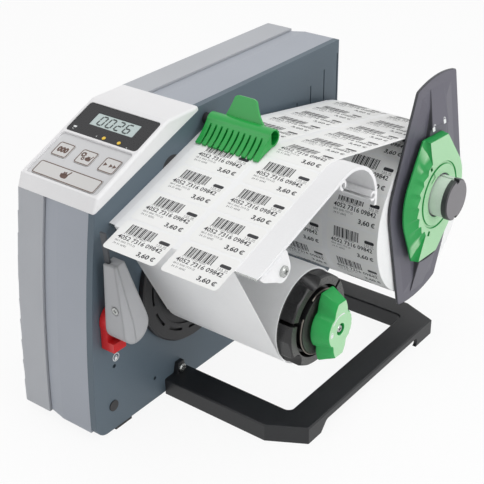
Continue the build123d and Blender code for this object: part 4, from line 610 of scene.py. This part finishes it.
    def done(self) -> Piece:
        """Join all shapes, facing up.

        Returns:
            The flat mesh object.
        """
        select_only(self.piece)
        for piece in self.extra:
            piece.select_set(True)
        if self.extra:
            bpy.ops.object.join()
        bpy.ops.object.mode_set(mode="EDIT")
        bpy.ops.mesh.select_all(action="SELECT")
        mesh = bmesh.from_edit_mesh(self.piece.data)
        for face in mesh.faces:
            if face.normal.z < 0:
                face.normal_flip()
        bmesh.update_edit_mesh(self.piece.data)
        clear_selection()
        return self.piece


def slice_up(piece: Piece, low: float, high: float, step: float) -> None:
    """Cut a flat mesh across at even steps so that it can follow a curve.

    Args:
        piece: The flat mesh.
        low: Lowest Y.
        high: Highest Y.
        step: Distance between cuts.
    """
    select_only(piece)
    bpy.ops.object.mode_set(mode="EDIT")
    y = low + step
    while y < high:
        bpy.ops.mesh.select_all(action="SELECT")
        bpy.ops.mesh.bisect(plane_co=(0, y, 0), plane_no=(0, 1, 0))
        y += step
    clear_selection()


def copy_of(piece: Piece, name: str) -> Piece:
    """Copy a piece with its own mesh.

    Args:
        piece: The piece to copy.
        name: Name of the copy.

    Returns:
        The copy.
    """
    copy = piece.copy()
    copy.data = piece.data.copy()
    copy.name = name
    bpy.context.scene.collection.objects.link(copy)
    return copy


def join_all(pieces: Sequence[Piece], name: str) -> Piece:
    """Join pieces into one.

    Args:
        pieces: Mesh objects.
        name: Name of the joined piece.

    Returns:
        The joined piece.
    """
    select_only(pieces[0])
    for piece in pieces[1:]:
        piece.select_set(True)
    bpy.ops.object.join()
    pieces[0].name = name
    clear_selection()
    return pieces[0]


@dataclass(frozen=True)
class WebPath:
    """Side line of the label web in millimetres, counted along it from the dispensing edge."""

    edge: Point = (29.5, 179.8)
    slope: float = 18.5
    run: float = 108.0
    nose_r: float = 35.5
    roll: Point = (285.0, 117.4)
    roll_r: float = 71.7
    sheet: float = 0.32

    @property
    def nose(self) -> Point:
        """Middle of the nose.

        Returns:
            Y and Z.
        """
        a = radians(self.slope)
        return (
            self.edge[0] + self.run * cos(a) + self.nose_r * sin(a),
            self.edge[1] + self.run * sin(a) - self.nose_r * cos(a),
        )

    @property
    def fall(self) -> float:
        """Direction of the free span, in radians."""
        dy, dz = self.roll[0] - self.nose[0], self.roll[1] - self.nose[1]
        return atan2(dz, dy) + asin((self.roll_r - self.nose_r) / hypot(dy, dz))

    @property
    def nose_run(self) -> float:
        """Length of the web on the nose."""
        return (self.nose_r + self.sheet) * (radians(self.slope) - self.fall)

    @property
    def span(self) -> float:
        """Length of the free span."""
        dy, dz = self.roll[0] - self.nose[0], self.roll[1] - self.nose[1]
        return sqrt(dy * dy + dz * dz - (self.roll_r - self.nose_r) ** 2)

    @property
    def roll_start(self) -> float:
        """Length from the edge to the roll."""
        return self.run + self.nose_run + self.span

    def on_roll(self, along: float, lift: float) -> Point:
        """Place on the roll.

        Args:
            along: Length on the roll after the web's tangent.
            lift: Distance outside the roll.

        Returns:
            Y and Z.
        """
        a = self.fall + pi / 2 - along / self.roll_r
        r = self.roll_r + lift
        return (self.roll[0] + r * cos(a), self.roll[1] + r * sin(a))

    def spot(self, along: float, lift: float) -> Point:
        """Place on the web.

        Args:
            along: Length from the edge.
            lift: Distance above the plate's face.

        Returns:
            Y and Z.
        """
        a = radians(self.slope)
        if along <= self.run:
            y, z = self.edge
            return (y + along * cos(a) - lift * sin(a), z + along * sin(a) + lift * cos(a))
        along -= self.run
        y, z = self.nose
        r = self.nose_r + lift
        if along <= self.nose_run:
            b = a + pi / 2 - along / (self.nose_r + self.sheet)
            return (y + r * cos(b), z + r * sin(b))
        along -= self.nose_run
        f = self.fall
        if along <= self.span:
            return (y - r * sin(f) + along * cos(f), z + r * cos(f) + along * sin(f))
        return self.on_roll(along - self.span, lift)


@dataclass
class LabelStock:
    """Two columns of printed labels on the web and round the roll."""

    path: WebPath = field(default_factory=WebPath)
    columns: tuple[float, float] = (114.5, 168.1)
    width: float = 48.4
    length: float = 29.4
    pitch: float = 31.6
    overhang: float = 21.0
    thick: float = 0.12
    sheet: float = 0.32
    web_rows: int = 9
    roll_rows: int = 13
    print_step: float = 2.6
    bars: tuple[float, ...] = (
        0.9, 0.5, 1.3, 0.5, 0.9, 0.4, 1.4, 0.5, 0.5, 1.3, 0.9, 0.4, 0.5, 1.4, 0.5, 0.9, 0.5, 0.9,
    )
    gaps: tuple[float, ...] = (0.4, 0.75, 0.5)

    def build(self) -> None:
        """Print every label and lay labels round the roll."""
        bold, small = self.print_sheet(), self.small_print()
        rows = [self.pitch * (k + 1) - self.overhang for k in range(self.web_rows)]
        prints = ((bold, "label_print", INK), (small, "label_small_print", PALE_INK))
        for template, label, finish in prints:
            self.spread(template, f"{label}_web", rows, finish, self.on_web, "machine")
            self.spread(template, f"{label}_front", [-self.overhang], finish, self.on_web, "machine")
            self.spread(template, f"{label}_roll", self.roll_starts(), finish, self.on_roll, "supply_roll")
            bpy.data.objects.remove(template)
        blank = self.blank_label()
        self.spread(blank, "roll_labels", self.roll_starts(), LABEL, self.blank_on_roll, "supply_roll")
        self.spread(blank, "last_web_labels", rows[-1:], LABEL, self.blank_on_web, "machine")
        bpy.data.objects.remove(blank)

    def roll_starts(self) -> list[float]:
        """Where each row on the roll starts, counted from the web's tangent."""
        first = self.pitch * (self.web_rows + 1) - self.overhang - self.path.roll_start
        return [first + self.pitch * k for k in range(self.roll_rows)]

    def on_web(self, u: float, v: float, w: float) -> Vector:
        """Place of a printed point on the web."""
        return at(u, *self.path.spot(v, self.sheet + self.thick + PRINT_LIFT + w))

    def on_roll(self, u: float, v: float, w: float) -> Vector:
        """Place of a printed point on the roll."""
        return at(u, *self.path.on_roll(v, self.thick + PRINT_LIFT + 0.04 + w))

    def blank_on_roll(self, u: float, v: float, w: float) -> Vector:
        """Place of a blank label's point on the roll."""
        return at(u, *self.path.on_roll(v, PRINT_LIFT + w))

    def blank_on_web(self, u: float, v: float, w: float) -> Vector:
        """Place of a blank label's point on the web."""
        return at(u, *self.path.spot(v, self.sheet + w))

    def spread(
        self, template: Piece, name: str, starts: Sequence[float], finish: Finish, place: Place, body: str
    ) -> None:
        """Copy a flat template to each label of some rows.

        Args:
            template: The flat mesh of one label, from its lower edge upwards.
            name: Name of the piece.
            starts: Where each row starts.
            finish: The piece's finish.
            place: Gives a point's place.
            body: Name of the CAD body.
        """
        copies = []
        for start in starts:
            for column in self.columns:
                copy = copy_of(template, name)
                shift_mesh(copy, lambda u, v, w: place(column + u, start + v, w))
                copies.append(copy)
        dress(join_all(copies, name), finish, body)

    def print_sheet(self) -> Piece:
        """Draw a label's bold print: bar pattern, long line of figures and price line.

        Returns:
            The flat mesh.
        """
        sheet = Drawing("label_print_template")
        u = -17.0
        for k, width in enumerate(self.bars):
            sheet.bar(u + width / 2, 22.2, width, 9.0)
            u += width + self.gaps[k % 3]
        sheet.figures("4052 7316 09842", -20.0, 11.9, 40.0, 3.7, weight=0.018)
        sheet.figures("3,60", 5.0, 3.2, 10.6, 3.8, weight=0.03)
        sheet.band(19.3, 5.1, 1.95, 0.75, 48, 312).bar(18.5, 4.6, 2.6, 0.5).bar(18.5, 5.6, 2.6, 0.5)
        sheet.bar(17.0, 20.8, 9.0, 3.0, corner=1.2)
        piece = sheet.done()
        slice_up(piece, 0, self.length, self.print_step)
        return piece

    def small_print(self) -> Piece:
        """Draw a label's small lines.

        Returns:
            The flat mesh.
        """
        sheet = Drawing("small_print_template")
        sheet.figures("4 1052 73160 98425", -17.6, 16.3, 20.5, 1.3)
        sheet.figures("0815 3042 7719 25", -19.6, 8.9, 18.5, 1.7)
        sheet.figures("24 31 6042", -19.0, 6.0, 12.0, 1.7)
        sheet.figures("125", 12.6, 17.2, 4.4, 1.5).figures("30", 18.2, 17.2, 2.8, 1.5)
        sheet.bar(17.0, 16.5, 9.0, 0.25)
        piece = sheet.done()
        slice_up(piece, 0, self.length, 2 * self.print_step)
        return piece

    def blank_label(self) -> Piece:
        """Model one blank label with round corners.

        Returns:
            The label's mesh, drawn flat from its lower edge upwards.
        """
        sheet = Drawing("blank_label_template")
        sheet.bar(0, self.length / 2, self.width, self.length, corner=3.0)
        piece = sheet.done()
        slice_up(piece, 0, self.length, 2.1)
        select_only(piece)
        bpy.ops.object.mode_set(mode="EDIT")
        bpy.ops.mesh.select_all(action="SELECT")
        bpy.ops.mesh.extrude_region_move(TRANSFORM_OT_translate={"value": (0, 0, self.thick)})
        bpy.ops.mesh.select_all(action="SELECT")
        bpy.ops.mesh.normals_make_consistent(inside=False)
        clear_selection()
        return piece


@dataclass
class PanelPrint:
    """Printed outlines, symbols and display figures of the operator panel."""

    origin: Point = (20.0, 202.0)
    tilt: float = 23.0
    key_depth: float = 1.3
    window_depth: float = 0.6
    glass_depth: float = 1.0
    keys: tuple[tuple[float, float, float, float], ...] = (
        (16.8, 31.0, 15.4, 14.0),
        (40.4, 31.0, 15.4, 14.0),
        (64.0, 31.0, 15.4, 14.0),
        (38.9, 10.4, 62.6, 13.2),
    )
    bodies: tuple[str, ...] = ("key_clear", "key_mode", "key_feed", "key_dispense")
    margin: float = 0.5
    corner: float = 2.0
    line: float = 0.75
    shown: str = "0026"
    digit_place: Point = (27.0, 66.6)
    digit_pitch: float = 8.6
    digit_tall: float = 4.4
    digit_wide: float = 5.0
    stroke: float = 1.3
    slant: float = 0.12

    def build(self) -> None:
        """Print the keys, the window and the display."""
        symbols = (self.zero, self.wheels_and_hand, self.arrows, self.hand)
        for (u, v, w, h), body, symbol in zip(self.keys, self.bodies, symbols):
            sheet = Drawing(f"{body}_print")
            sheet.frame(u, v, w - self.margin, h - self.margin, self.corner, self.line)
            symbol(sheet, u, v)
            self.lay(sheet.done(), self.key_depth, KEY_INK, body)
        self.window_marks()
        self.digits()

    def lay(self, piece: Piece, depth: float, finish: Finish, body: str) -> None:
        """Lay a drawing on the panel.

        Args:
            piece: The flat mesh.
            depth: Depth of its surface below the panel's face.
            finish: Its finish.
            body: Name of the CAD body.
        """
        a = radians(self.tilt)
        lift = PRINT_LIFT - depth
        y, z = self.origin

        def place(u: float, v: float, w: float) -> Vector:
            """Place on the sloping panel."""
            return at(u, y + v * cos(a) - lift * sin(a), z + v * sin(a) + lift * cos(a))

        shift_mesh(piece, place)
        dress(piece, finish, body)

    def zero(self, sheet: Drawing, u: float, v: float) -> None:
        """Figures that clear the counter."""
        sheet.figures("000", u - 5.2, v - 2.3, 10.4, 4.6, weight=0.07)

    def wheels_and_hand(self, sheet: Drawing, u: float, v: float) -> None:
        """Two toothed wheels beside a small hand.

        Args:
            sheet: The drawing.
            u: Middle across.
            v: Middle upwards.
        """
        self.wheel(sheet, u - 3.8, v + 2.1, 2.1)
        self.wheel(sheet, u - 2.0, v - 1.6, 1.4)
        self.pointing(sheet, u + 3.0, v - 0.6, 0.92)

    def wheel(self, sheet: Drawing, u: float, v: float, r: float) -> None:
        """Toothed wheel with a round hole.

        Args:
            sheet: The drawing.
            u: Middle across.
            v: Middle upwards.
            r: Radius under the teeth.
        """
        sheet.band(u, v, r, r * 0.55)
        for k in range(8):
            a = radians(45 * k)
            sheet.bar(u + r * 1.05 * cos(a), v + r * 1.05 * sin(a), r * 0.36, r * 0.36, turn=45 * k)

    def pointing(self, sheet: Drawing, u: float, v: float, k: float) -> None:
        """Closed hand with one finger up.

        Args:
            sheet: The drawing.
            u: Middle of the palm across.
            v: Middle of the palm upwards.
            k: Size, where one is a hand about 6 mm high.
        """
        sheet.bar(u, v - 0.6 * k, 4.6 * k, 3.6 * k, corner=1.2 * k)
        sheet.bar(u + 2.2 * k, v + 2.0 * k, 1.0 * k, 3.8 * k, corner=0.45 * k, turn=-24)
        sheet.bar(u - 1.6 * k, v + 1.2 * k, 1.2 * k, 2.4 * k, corner=0.5 * k)
        sheet.bar(u - 0.2 * k, v + 1.5 * k, 1.2 * k, 2.2 * k, corner=0.5 * k)
        sheet.bar(u - 2.6 * k, v - 0.4 * k, 1.4 * k, 2.8 * k, corner=0.6 * k, turn=20)

    def arrows(self, sheet: Drawing, u: float, v: float) -> None:
        """One arrow head, a gap and two more."""
        for du in (-4.4, 0.9, 4.3):
            sheet.disc(u + du, v, 2.1, sides=3, turn=-90)

    def hand(self, sheet: Drawing, u: float, v: float) -> None:
        """Large hand on the wide key."""
        self.pointing(sheet, u - 2.0, v, 1.25)

    def window_marks(self) -> None:
        """Small pale marks on the display window."""
        sheet = Drawing("window_marks")
        sheet.bar(9.5, 54.2, 3.2, 1.7, corner=0.3).bar(9.0, 51.9, 1.6, 0.5)
        sheet.disc(33.6, 51.5, 0.7, sides=3, turn=90).disc(65.1, 49.9, 0.7, sides=3, turn=90)
        self.lay(sheet.done(), self.window_depth, WHITE_INK, "machine")

    def digits(self) -> None:
        """Seven-segment figures on the display."""
        sheet = Drawing("display_digits")
        segments = {"0": "abcdef", "2": "abged", "6": "afgedc"}
        u, v = self.digit_place
        for k, figure in enumerate(self.shown):
            for part in segments[figure]:
                self.segment(sheet, part, u + self.digit_pitch * k, v)
        self.lay(sheet.done(), self.glass_depth, DIGIT, "machine")

    def segment(self, sheet: Drawing, part: str, u: float, v: float) -> None:
        """One stroke of a display figure.

        Args:
            sheet: The drawing.
            part: Letter of the stroke, a to g.
            u: Middle of the figure across.
            v: Middle of the figure upwards.
        """
        tall, wide, line = self.digit_tall, self.digit_wide, self.stroke
        flat = {"a": tall, "g": 0.0, "d": -tall}
        if part in flat:
            sheet.bar(u + self.slant * flat[part], v + flat[part], wide - line, line, corner=0.3)
            return
        side = -1 if part in "fe" else 1
        middle = tall / 2 if part in "fb" else -tall / 2
        across = u + side * wide / 2 + self.slant * middle
        sheet.bar(across, v + middle, line, tall - 0.5, corner=0.3, turn=-7)


def wrapped_shell(
    name: str, steps: int, section: Callable[[float], Sequence[Point]], centre: Point, lean: float
) -> Piece:
    """Wrap a grid round an axis along X so that it becomes a closed shell.

    Args:
        name: The piece's name.
        steps: Number of faces round the axis.
        section: Gives the closed section at an angle in degrees, as radii and X in millimetres.
        centre: Y and Z of the axis.
        lean: Degrees that the shell's top leans towards +Y.

    Returns:
        The shell.
    """
    count = len(section(0.0))
    clear_selection()
    bpy.ops.mesh.primitive_grid_add(x_subdivisions=steps, y_subdivisions=count, size=1)
    piece = bpy.context.object
    piece.name = name

    def place(u: float, v: float, w: float) -> Vector:
        """Place of a point of the grid.

        Args:
            u: Place round the axis, from -0.5 to 0.5.
            v: Place along the section, from -0.5 to 0.5.
            w: Not used, because the grid is flat.

        Returns:
            The place in metres.
        """
        turn = 360.0 * (u + 0.5)
        radius, x = section(turn % 360.0)[round((v + 0.5) * count) % count]
        a = radians(turn - lean)
        return at(x, centre[0] + radius * cos(a), centre[1] + radius * sin(a))

    shift_mesh(piece, place)
    bpy.ops.object.mode_set(mode="EDIT")
    bpy.ops.mesh.select_all(action="SELECT")
    bpy.ops.mesh.remove_doubles(threshold=0.000005)
    bpy.ops.mesh.normals_make_consistent(inside=False)
    bpy.ops.object.mode_set(mode="OBJECT")
    return piece


@dataclass(frozen=True)
class LobedOutline:
    """Round outline with one lobe above and one below.

    Each side is an arc with its own radius, over its own degrees up and down. A lobe is flat on top,
    from one Y to the next at one height, and straight lines join it to the arcs.
    """

    left_r: float
    left_span: float
    right_r: float
    right_span: float
    lobe: tuple[float, float, float]

    def radius(self, turn: float) -> float:
        """Distance from the axis to the outline.

        Args:
            turn: Degrees from +Y towards the top.

        Returns:
            The radius in millimetres.
        """
        turn = min(turn, 360.0 - turn)
        if turn <= self.right_span:
            return self.right_r
        if turn >= 180.0 - self.left_span:
            return self.left_r
        y0, y1, z = self.lobe
        a, b = radians(180.0 - self.left_span), radians(self.right_span)
        corners = [
            (self.right_r * cos(b), self.right_r * sin(b)), (y1, z), (y0, z),
            (self.left_r * cos(a), self.left_r * sin(a)),
        ]
        dy, dz = cos(radians(turn)), sin(radians(turn))
        for (ya, za), (yb, zb) in zip(corners, corners[1:]):
            if atan2(za, ya) <= radians(turn) + 1e-9 <= atan2(zb, yb) + 2e-9:
                return (ya * (zb - za) - za * (yb - ya)) / (dy * (zb - za) - dz * (yb - ya))
        return self.left_r


@dataclass
class LockingRing:
    """Turning ring of the guide flange: tapered grip, wedge-shaped finger flutes, dish and three slots."""

    centre: Point = (285.0, 137.5)
    lean: float = 3.5
    low: float = 201.05
    high: float = 208.0
    skirt: float = 1.2
    bore: float = 18.9
    base: LobedOutline = LobedOutline(48.4, 30, 42.9, 42, (-27.0, 5.3, 53.9))
    face: LobedOutline = LobedOutline(37.0, 62, 39.5, 46, (-26.2, 4.6, 53.2))
    steps: int = 240
    flutes: tuple[float, float, float] = (129.0, 243.0, 16.5)
    flute_depth: float = 3.4
    slots: tuple[float, ...] = (4.0, 124.0, 249.0)
    slot_band: Point = (31.8, 36.0)
    slot_half: float = 2.3
    slot_depth: float = 2.2
    mark: tuple[float, float, float] = (129.0, 9.0, 1.0)
    mark_band: Point = (22.0, 27.0)
    groove: Point = (27.2, 28.8)
    dish: float = 29.4
    under: tuple[float, float, float] = (34.2, 23.8, 26.0)

    def build(self) -> None:
        """Model the ring, sink its slots and dress it."""
        ring = wrapped_shell("locking_grip", self.steps, self.section, self.centre, self.lean)
        for angle in self.slots:
            self.sink(ring, angle, self.slot_half, self.slot_band, self.slot_depth)
        angle, half, depth = self.mark
        self.sink(ring, angle, half, self.mark_band, depth)
        select_only(ring)
        bpy.ops.object.shade_smooth_by_angle(angle=radians(SMOOTH_BELOW))
        dress(ring, GREEN_GRIP, "locking_ring")
        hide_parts("flange_ring")

    def flute(self, turn: float) -> float:
        """Depth of the finger flutes at an angle: steep on one side, shallow on the other.

        Args:
            turn: Degrees from +Y towards the top.

        Returns:
            The depth in millimetres.
        """
        start, stop, pitch = self.flutes
        if not start <= turn <= stop:
            return 0.0
        share = ((turn - start) / pitch) % 1.0
        return self.flute_depth * (share / 0.3 if share < 0.3 else (1.0 - share) / 0.7)

    def section(self, turn: float) -> list[Point]:
        """Closed section of the ring at an angle.

        Args:
            turn: Degrees from +Y towards the top.

        Returns:
            Radii and X in millimetres.
        """
        cut = self.flute(turn)
        rim = self.face.radius(turn) - cut
        base = self.base.radius(turn)
        middle = 0.45 * base + 0.55 * (rim + cut) - 0.75 * cut
        low_band = 0.8 * base + 0.2 * (rim + cut)
        x0, x1 = self.low, self.high
        collar = x1 + 0.15
        a, b = self.slot_band
        g0, g1 = self.groove
        foot, inner, sleeve = self.under
        return [
            (self.bore, x1 - 0.3), (self.bore + 0.3, collar), (self.mark_band[0], collar), (26.8, collar),
            (g0, x1 - 0.1), (g0, x1 - 1.1), (g1, x1 - 1.1), (self.dish, x1),
            (min(a, rim - 1.4), x1), (min(b, rim - 0.8), x1), (rim - 0.4, x1), (rim, x1 - 0.3),
            (middle, x0 + 4.1), (low_band, x0 + 2.3), (base, x0 + self.skirt), (base, x0),
            (foot, x0), (inner, x0), (inner, x1 - 1.85), (sleeve, x1 - 1.85),
            (sleeve, x1 - 0.35), (self.bore + 0.2, x1 - 0.35),
        ]

    def sink(self, ring: Piece, angle: float, half: float, band: Point, depth: float) -> None:
        """Push a patch of the ring's face inwards.

        Args:
            ring: The ring.
            angle: Middle of the patch, in degrees.
            half: Half of the degrees that it covers.
            band: Its inner and outer radius.
            depth: Its depth.
        """
        select_only(ring)
        bpy.ops.object.mode_set(mode="EDIT")
        bpy.ops.mesh.select_mode(type="FACE")
        bpy.ops.mesh.select_all(action="DESELECT")
        mesh = bmesh.from_edit_mesh(ring.data)
        middle = at(self.high, *self.centre)
        for face in mesh.faces:
            spot = (face.calc_center_median() - middle) * 1000
            away = (degrees(atan2(spot.z, spot.y)) + self.lean - angle + 180) % 360 - 180
            on_top = spot.x > -0.5 and face.normal.x > 0.9
            if on_top and abs(away) < half and band[0] < hypot(spot.y, spot.z) < band[1]:
                face.select_set(True)
        bmesh.update_edit_mesh(ring.data)
        bpy.ops.mesh.extrude_region_move(TRANSFORM_OT_translate={"value": (-depth / 1000, 0, 0)})
        bpy.ops.mesh.select_mode(type="VERT")
        clear_selection()


@dataclass
class ReleaseKnob:
    """Release knob of the rewinder: two wings over hollow flanks, a rippled side and a screw recess."""

    centre: Point = (113.0, 102.0)
    lean: float = 3.0
    back: float = 207.5
    low: float = 210.0
    high: float = 224.0
    skirt: float = 1.6
    bore: float = 6.1
    recess: float = 4.6
    collar: float = 13.0
    base: LobedOutline = LobedOutline(18.6, 44, 18.6, 44, (-7.0, 7.0, 28.0))
    face: LobedOutline = LobedOutline(15.4, 44, 15.4, 44, (-5.0, 5.0, 22.8))
    steps: int = 180
    hollow: float = 2.0
    hollow_at: float = 54.0
    hollow_span: float = 15.0
    ripple: float = 0.5
    ripple_pitch: float = 15.0
    ripple_end: float = 37.0
    recess_depth: float = 3.0

    def build(self) -> None:
        """Model the knob and dress it."""
        knob = wrapped_shell("winged_knob", self.steps, self.section, self.centre, self.lean)
        select_only(knob)
        bpy.ops.object.shade_smooth_by_angle(angle=radians(SMOOTH_BELOW))
        dress(knob, GREEN_GRIP, "release_knob")
        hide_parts("rewinder_knob")

    def section(self, turn: float) -> list[Point]:
        """Closed section of the knob at an angle.

        Args:
            turn: Degrees from +Y towards the top.

        Returns:
            Radii and X in millimetres.
        """
        side = min(turn, 360.0 - turn)
        side = min(side, 180.0 - side)
        away = min(1.0, abs(side - self.hollow_at) / self.hollow_span)
        dip = self.hollow * max(0.0, cos(radians(90.0 * away))) ** 2
        right = side < self.ripple_end and cos(radians(turn)) > 0
        wave = self.ripple * (0.5 + 0.5 * cos(2 * pi * side / self.ripple_pitch)) if right else 0.0
        base = self.base.radius(turn) - dip
        rim = self.face.radius(turn) - 0.8 * dip - wave
        upper, lower = 0.62 * rim + 0.38 * base + 0.6 * wave, 0.2 * rim + 0.8 * base
        x0, x1 = self.low, self.high
        seat = x1 - self.recess_depth
        return [
            (self.bore, self.back), (self.bore, seat - 0.4), (self.recess, seat), (self.recess, x1 - 0.3),
            (self.recess + 0.3, x1), (rim - 2.2, x1), (rim - 0.5, x1), (rim, x1 - 0.4),
            (upper, x1 - 4.6), (lower, x0 + 4.2), (base, x0 + self.skirt),
            (base, x0 + 0.2), (base - 0.2, x0), (self.collar, x0), (self.collar, self.back),
        ]


@dataclass
class MachineMarks:
    """White marks on the wall, the knob and the guide flange."""

    wall_x: float = 79.0
    knob_x: float = 224.0
    knob: Point = (113.0, 102.0)
    ramp_x: float = 203.6
    ramp_fall: float = 0.216
    ramp_start: float = 55.0
    tube: Point = (285.0, 137.5)
    lean: float = 3.5

    def build(self) -> None:
        """Make every mark."""
        wall = Drawing("wall_marks")
        self.padlock(wall, 26.3, 65.7, 0.95)
        wall.band(26.3, 65.9, 3.5, 0.6)
        wall.bar(34.6, 79.6, 0.9, 3.4, turn=-32).bar(32.0, 75.4, 0.9, 2.6, turn=-50)
        wall.bar(22.4, 74.6, 2.8, 0.8)
        wall.disc(22.4, 165.0, 1.9, sides=3, turn=-90)
        self.lay(wall.done(), lambda u, v: self.wall_x + PRINT_LIFT, "machine")
        knob = Drawing("knob_marks")
        knob.band(0, 0, 12.8, 1.1, 66, 146)
        self.padlock(knob, -11.2, 0.6, 1.15)
        self.lay(knob.done(), lambda u, v: self.knob_x + PRINT_LIFT, "release_knob", self.knob)
        ramp = Drawing("flange_marks")
        self.padlock(ramp, 10.7, 62.4, 1.35)
        self.padlock(ramp, -8.0, 61.6, 1.35, swing=1.9)
        self.lay(ramp.done(), self.ramp, "flange", self.tube)

    def ramp(self, u: float, v: float) -> float:
        """X of the upper ramp's face.

        Args:
            u: Y, counted from the tube's axis.
            v: Z, counted from there.

        Returns:
            X just above the face, in millimetres.
        """
        lean = radians(self.lean)
        along = u * sin(lean) + v * cos(lean)
        return self.ramp_x + PRINT_LIFT + 0.01 - self.ramp_fall * (along - self.ramp_start)

    def padlock(self, sheet: Drawing, u: float, v: float, k: float, swing: float = 0.0) -> None:
        """Padlock: body with a shackle, which is swung aside where it is open."""
        sheet.bar(u, v - 1.0 * k, 3.0 * k, 2.6 * k, corner=0.6 * k)
        sheet.band(u + swing, v + 0.4 * k, 1.25 * k, 0.45 * k, 0, 180)

    def lay(
        self, piece: Piece, face: Callable[[float, float], float], body: str, centre: Point = (0.0, 0.0)
    ) -> None:
        """Lay a drawing on a face that looks towards the rolls.

        Args:
            piece: The flat mesh.
            face: X of the face at a point.
            body: Name of the CAD body.
            centre: Y and Z that the drawing is counted from.
        """
        shift_mesh(piece, lambda u, v, w: at(face(u, v), centre[0] + u, centre[1] + v))
        dress(piece, WHITE_INK, body)


def seen_directly(net: Tree) -> Socket:
    """Tell the rays of the camera, reflections and clear parts from the light that falls on the object.

    Args:
        net: A material's or the world's node tree.

    Returns:
        One for such a ray, otherwise zero.
    """
    rays = net.nodes.new("ShaderNodeLightPath")
    total = rays.outputs["Is Camera Ray"]
    for kind in ("Is Glossy Ray", "Is Transmission Ray"):
        both = net.nodes.new("ShaderNodeMath")
        both.operation = "MAXIMUM"
        net.links.new(total, both.inputs[0])
        net.links.new(rays.outputs[kind], both.inputs[1])
        total = both.outputs[0]
    return total


@dataclass
class Studio:
    """Pale floor, soft lamps and the camera."""

    azimuth: float = 36.51
    elevation: float = 27.91
    place: tuple[float, float, float] = (590.4, -471.7, 557.0)
    focal_px: float = 1125.6
    frame_px: float = 484.0
    principal: Point = (267.5, 219.4)
    lamps_aim: tuple[float, float, float] = (0.0, 0.0, 0.12)
    surroundings: float = 0.42
    floor_white: float = 0.9

    def build(self) -> None:
        """Make the floor, the lamps and the camera."""
        scene = bpy.context.scene
        scene.view_settings.view_transform = "Standard"
        self.floor()
        self.world(scene)
        self.lamp("front_lamp", (-0.6, -1.5, 0.9), 1.3, 5.0)
        self.lamp("side_lamp", (2.0, 0.1, 0.8), 1.2, 15.0)
        self.lamp("top_lamp", (0.2, 0.2, 1.9), 1.4, 12.6)
        self.camera(scene)

    def floor(self) -> None:
        """Large pale floor that shows white to the camera."""
        clear_selection()
        bpy.ops.mesh.primitive_plane_add(size=40)
        plane = bpy.context.object
        plane.name = "floor"
        mat = bpy.data.materials.new("floor_paper")
        mat.use_nodes = True
        net = mat.node_tree
        shader = net.nodes["Principled BSDF"]
        shader.inputs["Base Color"].default_value = (0.95, 0.95, 0.95, 1)
        shader.inputs["Roughness"].default_value = 0.8
        white = net.nodes.new("ShaderNodeEmission")
        mix = net.nodes.new("ShaderNodeMixShader")
        share = net.nodes.new("ShaderNodeMath")
        share.operation = "MULTIPLY"
        share.inputs[1].default_value = self.floor_white
        net.links.new(seen_directly(net), share.inputs[0])
        net.links.new(share.outputs[0], mix.inputs[0])
        net.links.new(shader.outputs[0], mix.inputs[1])
        net.links.new(white.outputs[0], mix.inputs[2])
        net.links.new(mix.outputs[0], net.nodes["Material Output"].inputs["Surface"])
        plane.data.materials.append(mat)

    def world(self, scene: bpy.types.Scene) -> None:
        """Even pale surroundings, white where the camera or a reflection sees them.

        Args:
            scene: The scene to light.
        """
        world = bpy.data.worlds.new("studio")
        world.use_nodes = True
        net = world.node_tree
        back = net.nodes["Background"]
        back.inputs["Color"].default_value = (1.0, 1.0, 1.0, 1)
        strength = net.nodes.new("ShaderNodeMapRange")
        strength.inputs["To Min"].default_value = self.surroundings
        strength.inputs["To Max"].default_value = 1.0
        net.links.new(seen_directly(net), strength.inputs["Value"])
        net.links.new(strength.outputs[0], back.inputs["Strength"])
        scene.world = world

    def lamp(self, name: str, place: tuple[float, float, float], size: float, power: float) -> None:
        """Add one square area lamp aimed at the machine.

        Args:
            name: The lamp's name.
            place: Where it hangs, in metres.
            size: Side length in metres.
            power: Power in watts.
        """
        data = bpy.data.lights.new(name, "AREA")
        data.size = size
        data.energy = power
        lamp = bpy.data.objects.new(name, data)
        lamp.location = place
        aim = Vector(self.lamps_aim) - Vector(place)
        lamp.rotation_euler = aim.to_track_quat("-Z", "Y").to_euler()
        bpy.context.scene.collection.objects.link(lamp)

    def camera(self, scene: bpy.types.Scene) -> None:
        """Camera at the photograph's view.

        Args:
            scene: The scene that gets the camera.
        """
        data = bpy.data.cameras.new("camera")
        data.sensor_width = 36.0
        data.lens = data.sensor_width * self.focal_px / self.frame_px
        data.shift_x = 0.5 - self.principal[0] / self.frame_px
        data.shift_y = self.principal[1] / self.frame_px - 0.5
        data.clip_end = 50.0
        camera = bpy.data.objects.new("camera", data)
        camera.location = at(*self.place)
        camera.rotation_euler = (radians(90 - self.elevation), 0, radians(self.azimuth))
        scene.collection.objects.link(camera)
        scene.camera = camera


def main() -> None:
    """Dress the nodes and build each part of the scene."""
    dress_nodes()
    for assembly in (LabelStock(), PanelPrint(), LockingRing(), ReleaseKnob(), MachineMarks(), Studio()):
        assembly.build()


if __name__ == "__main__":
    main()
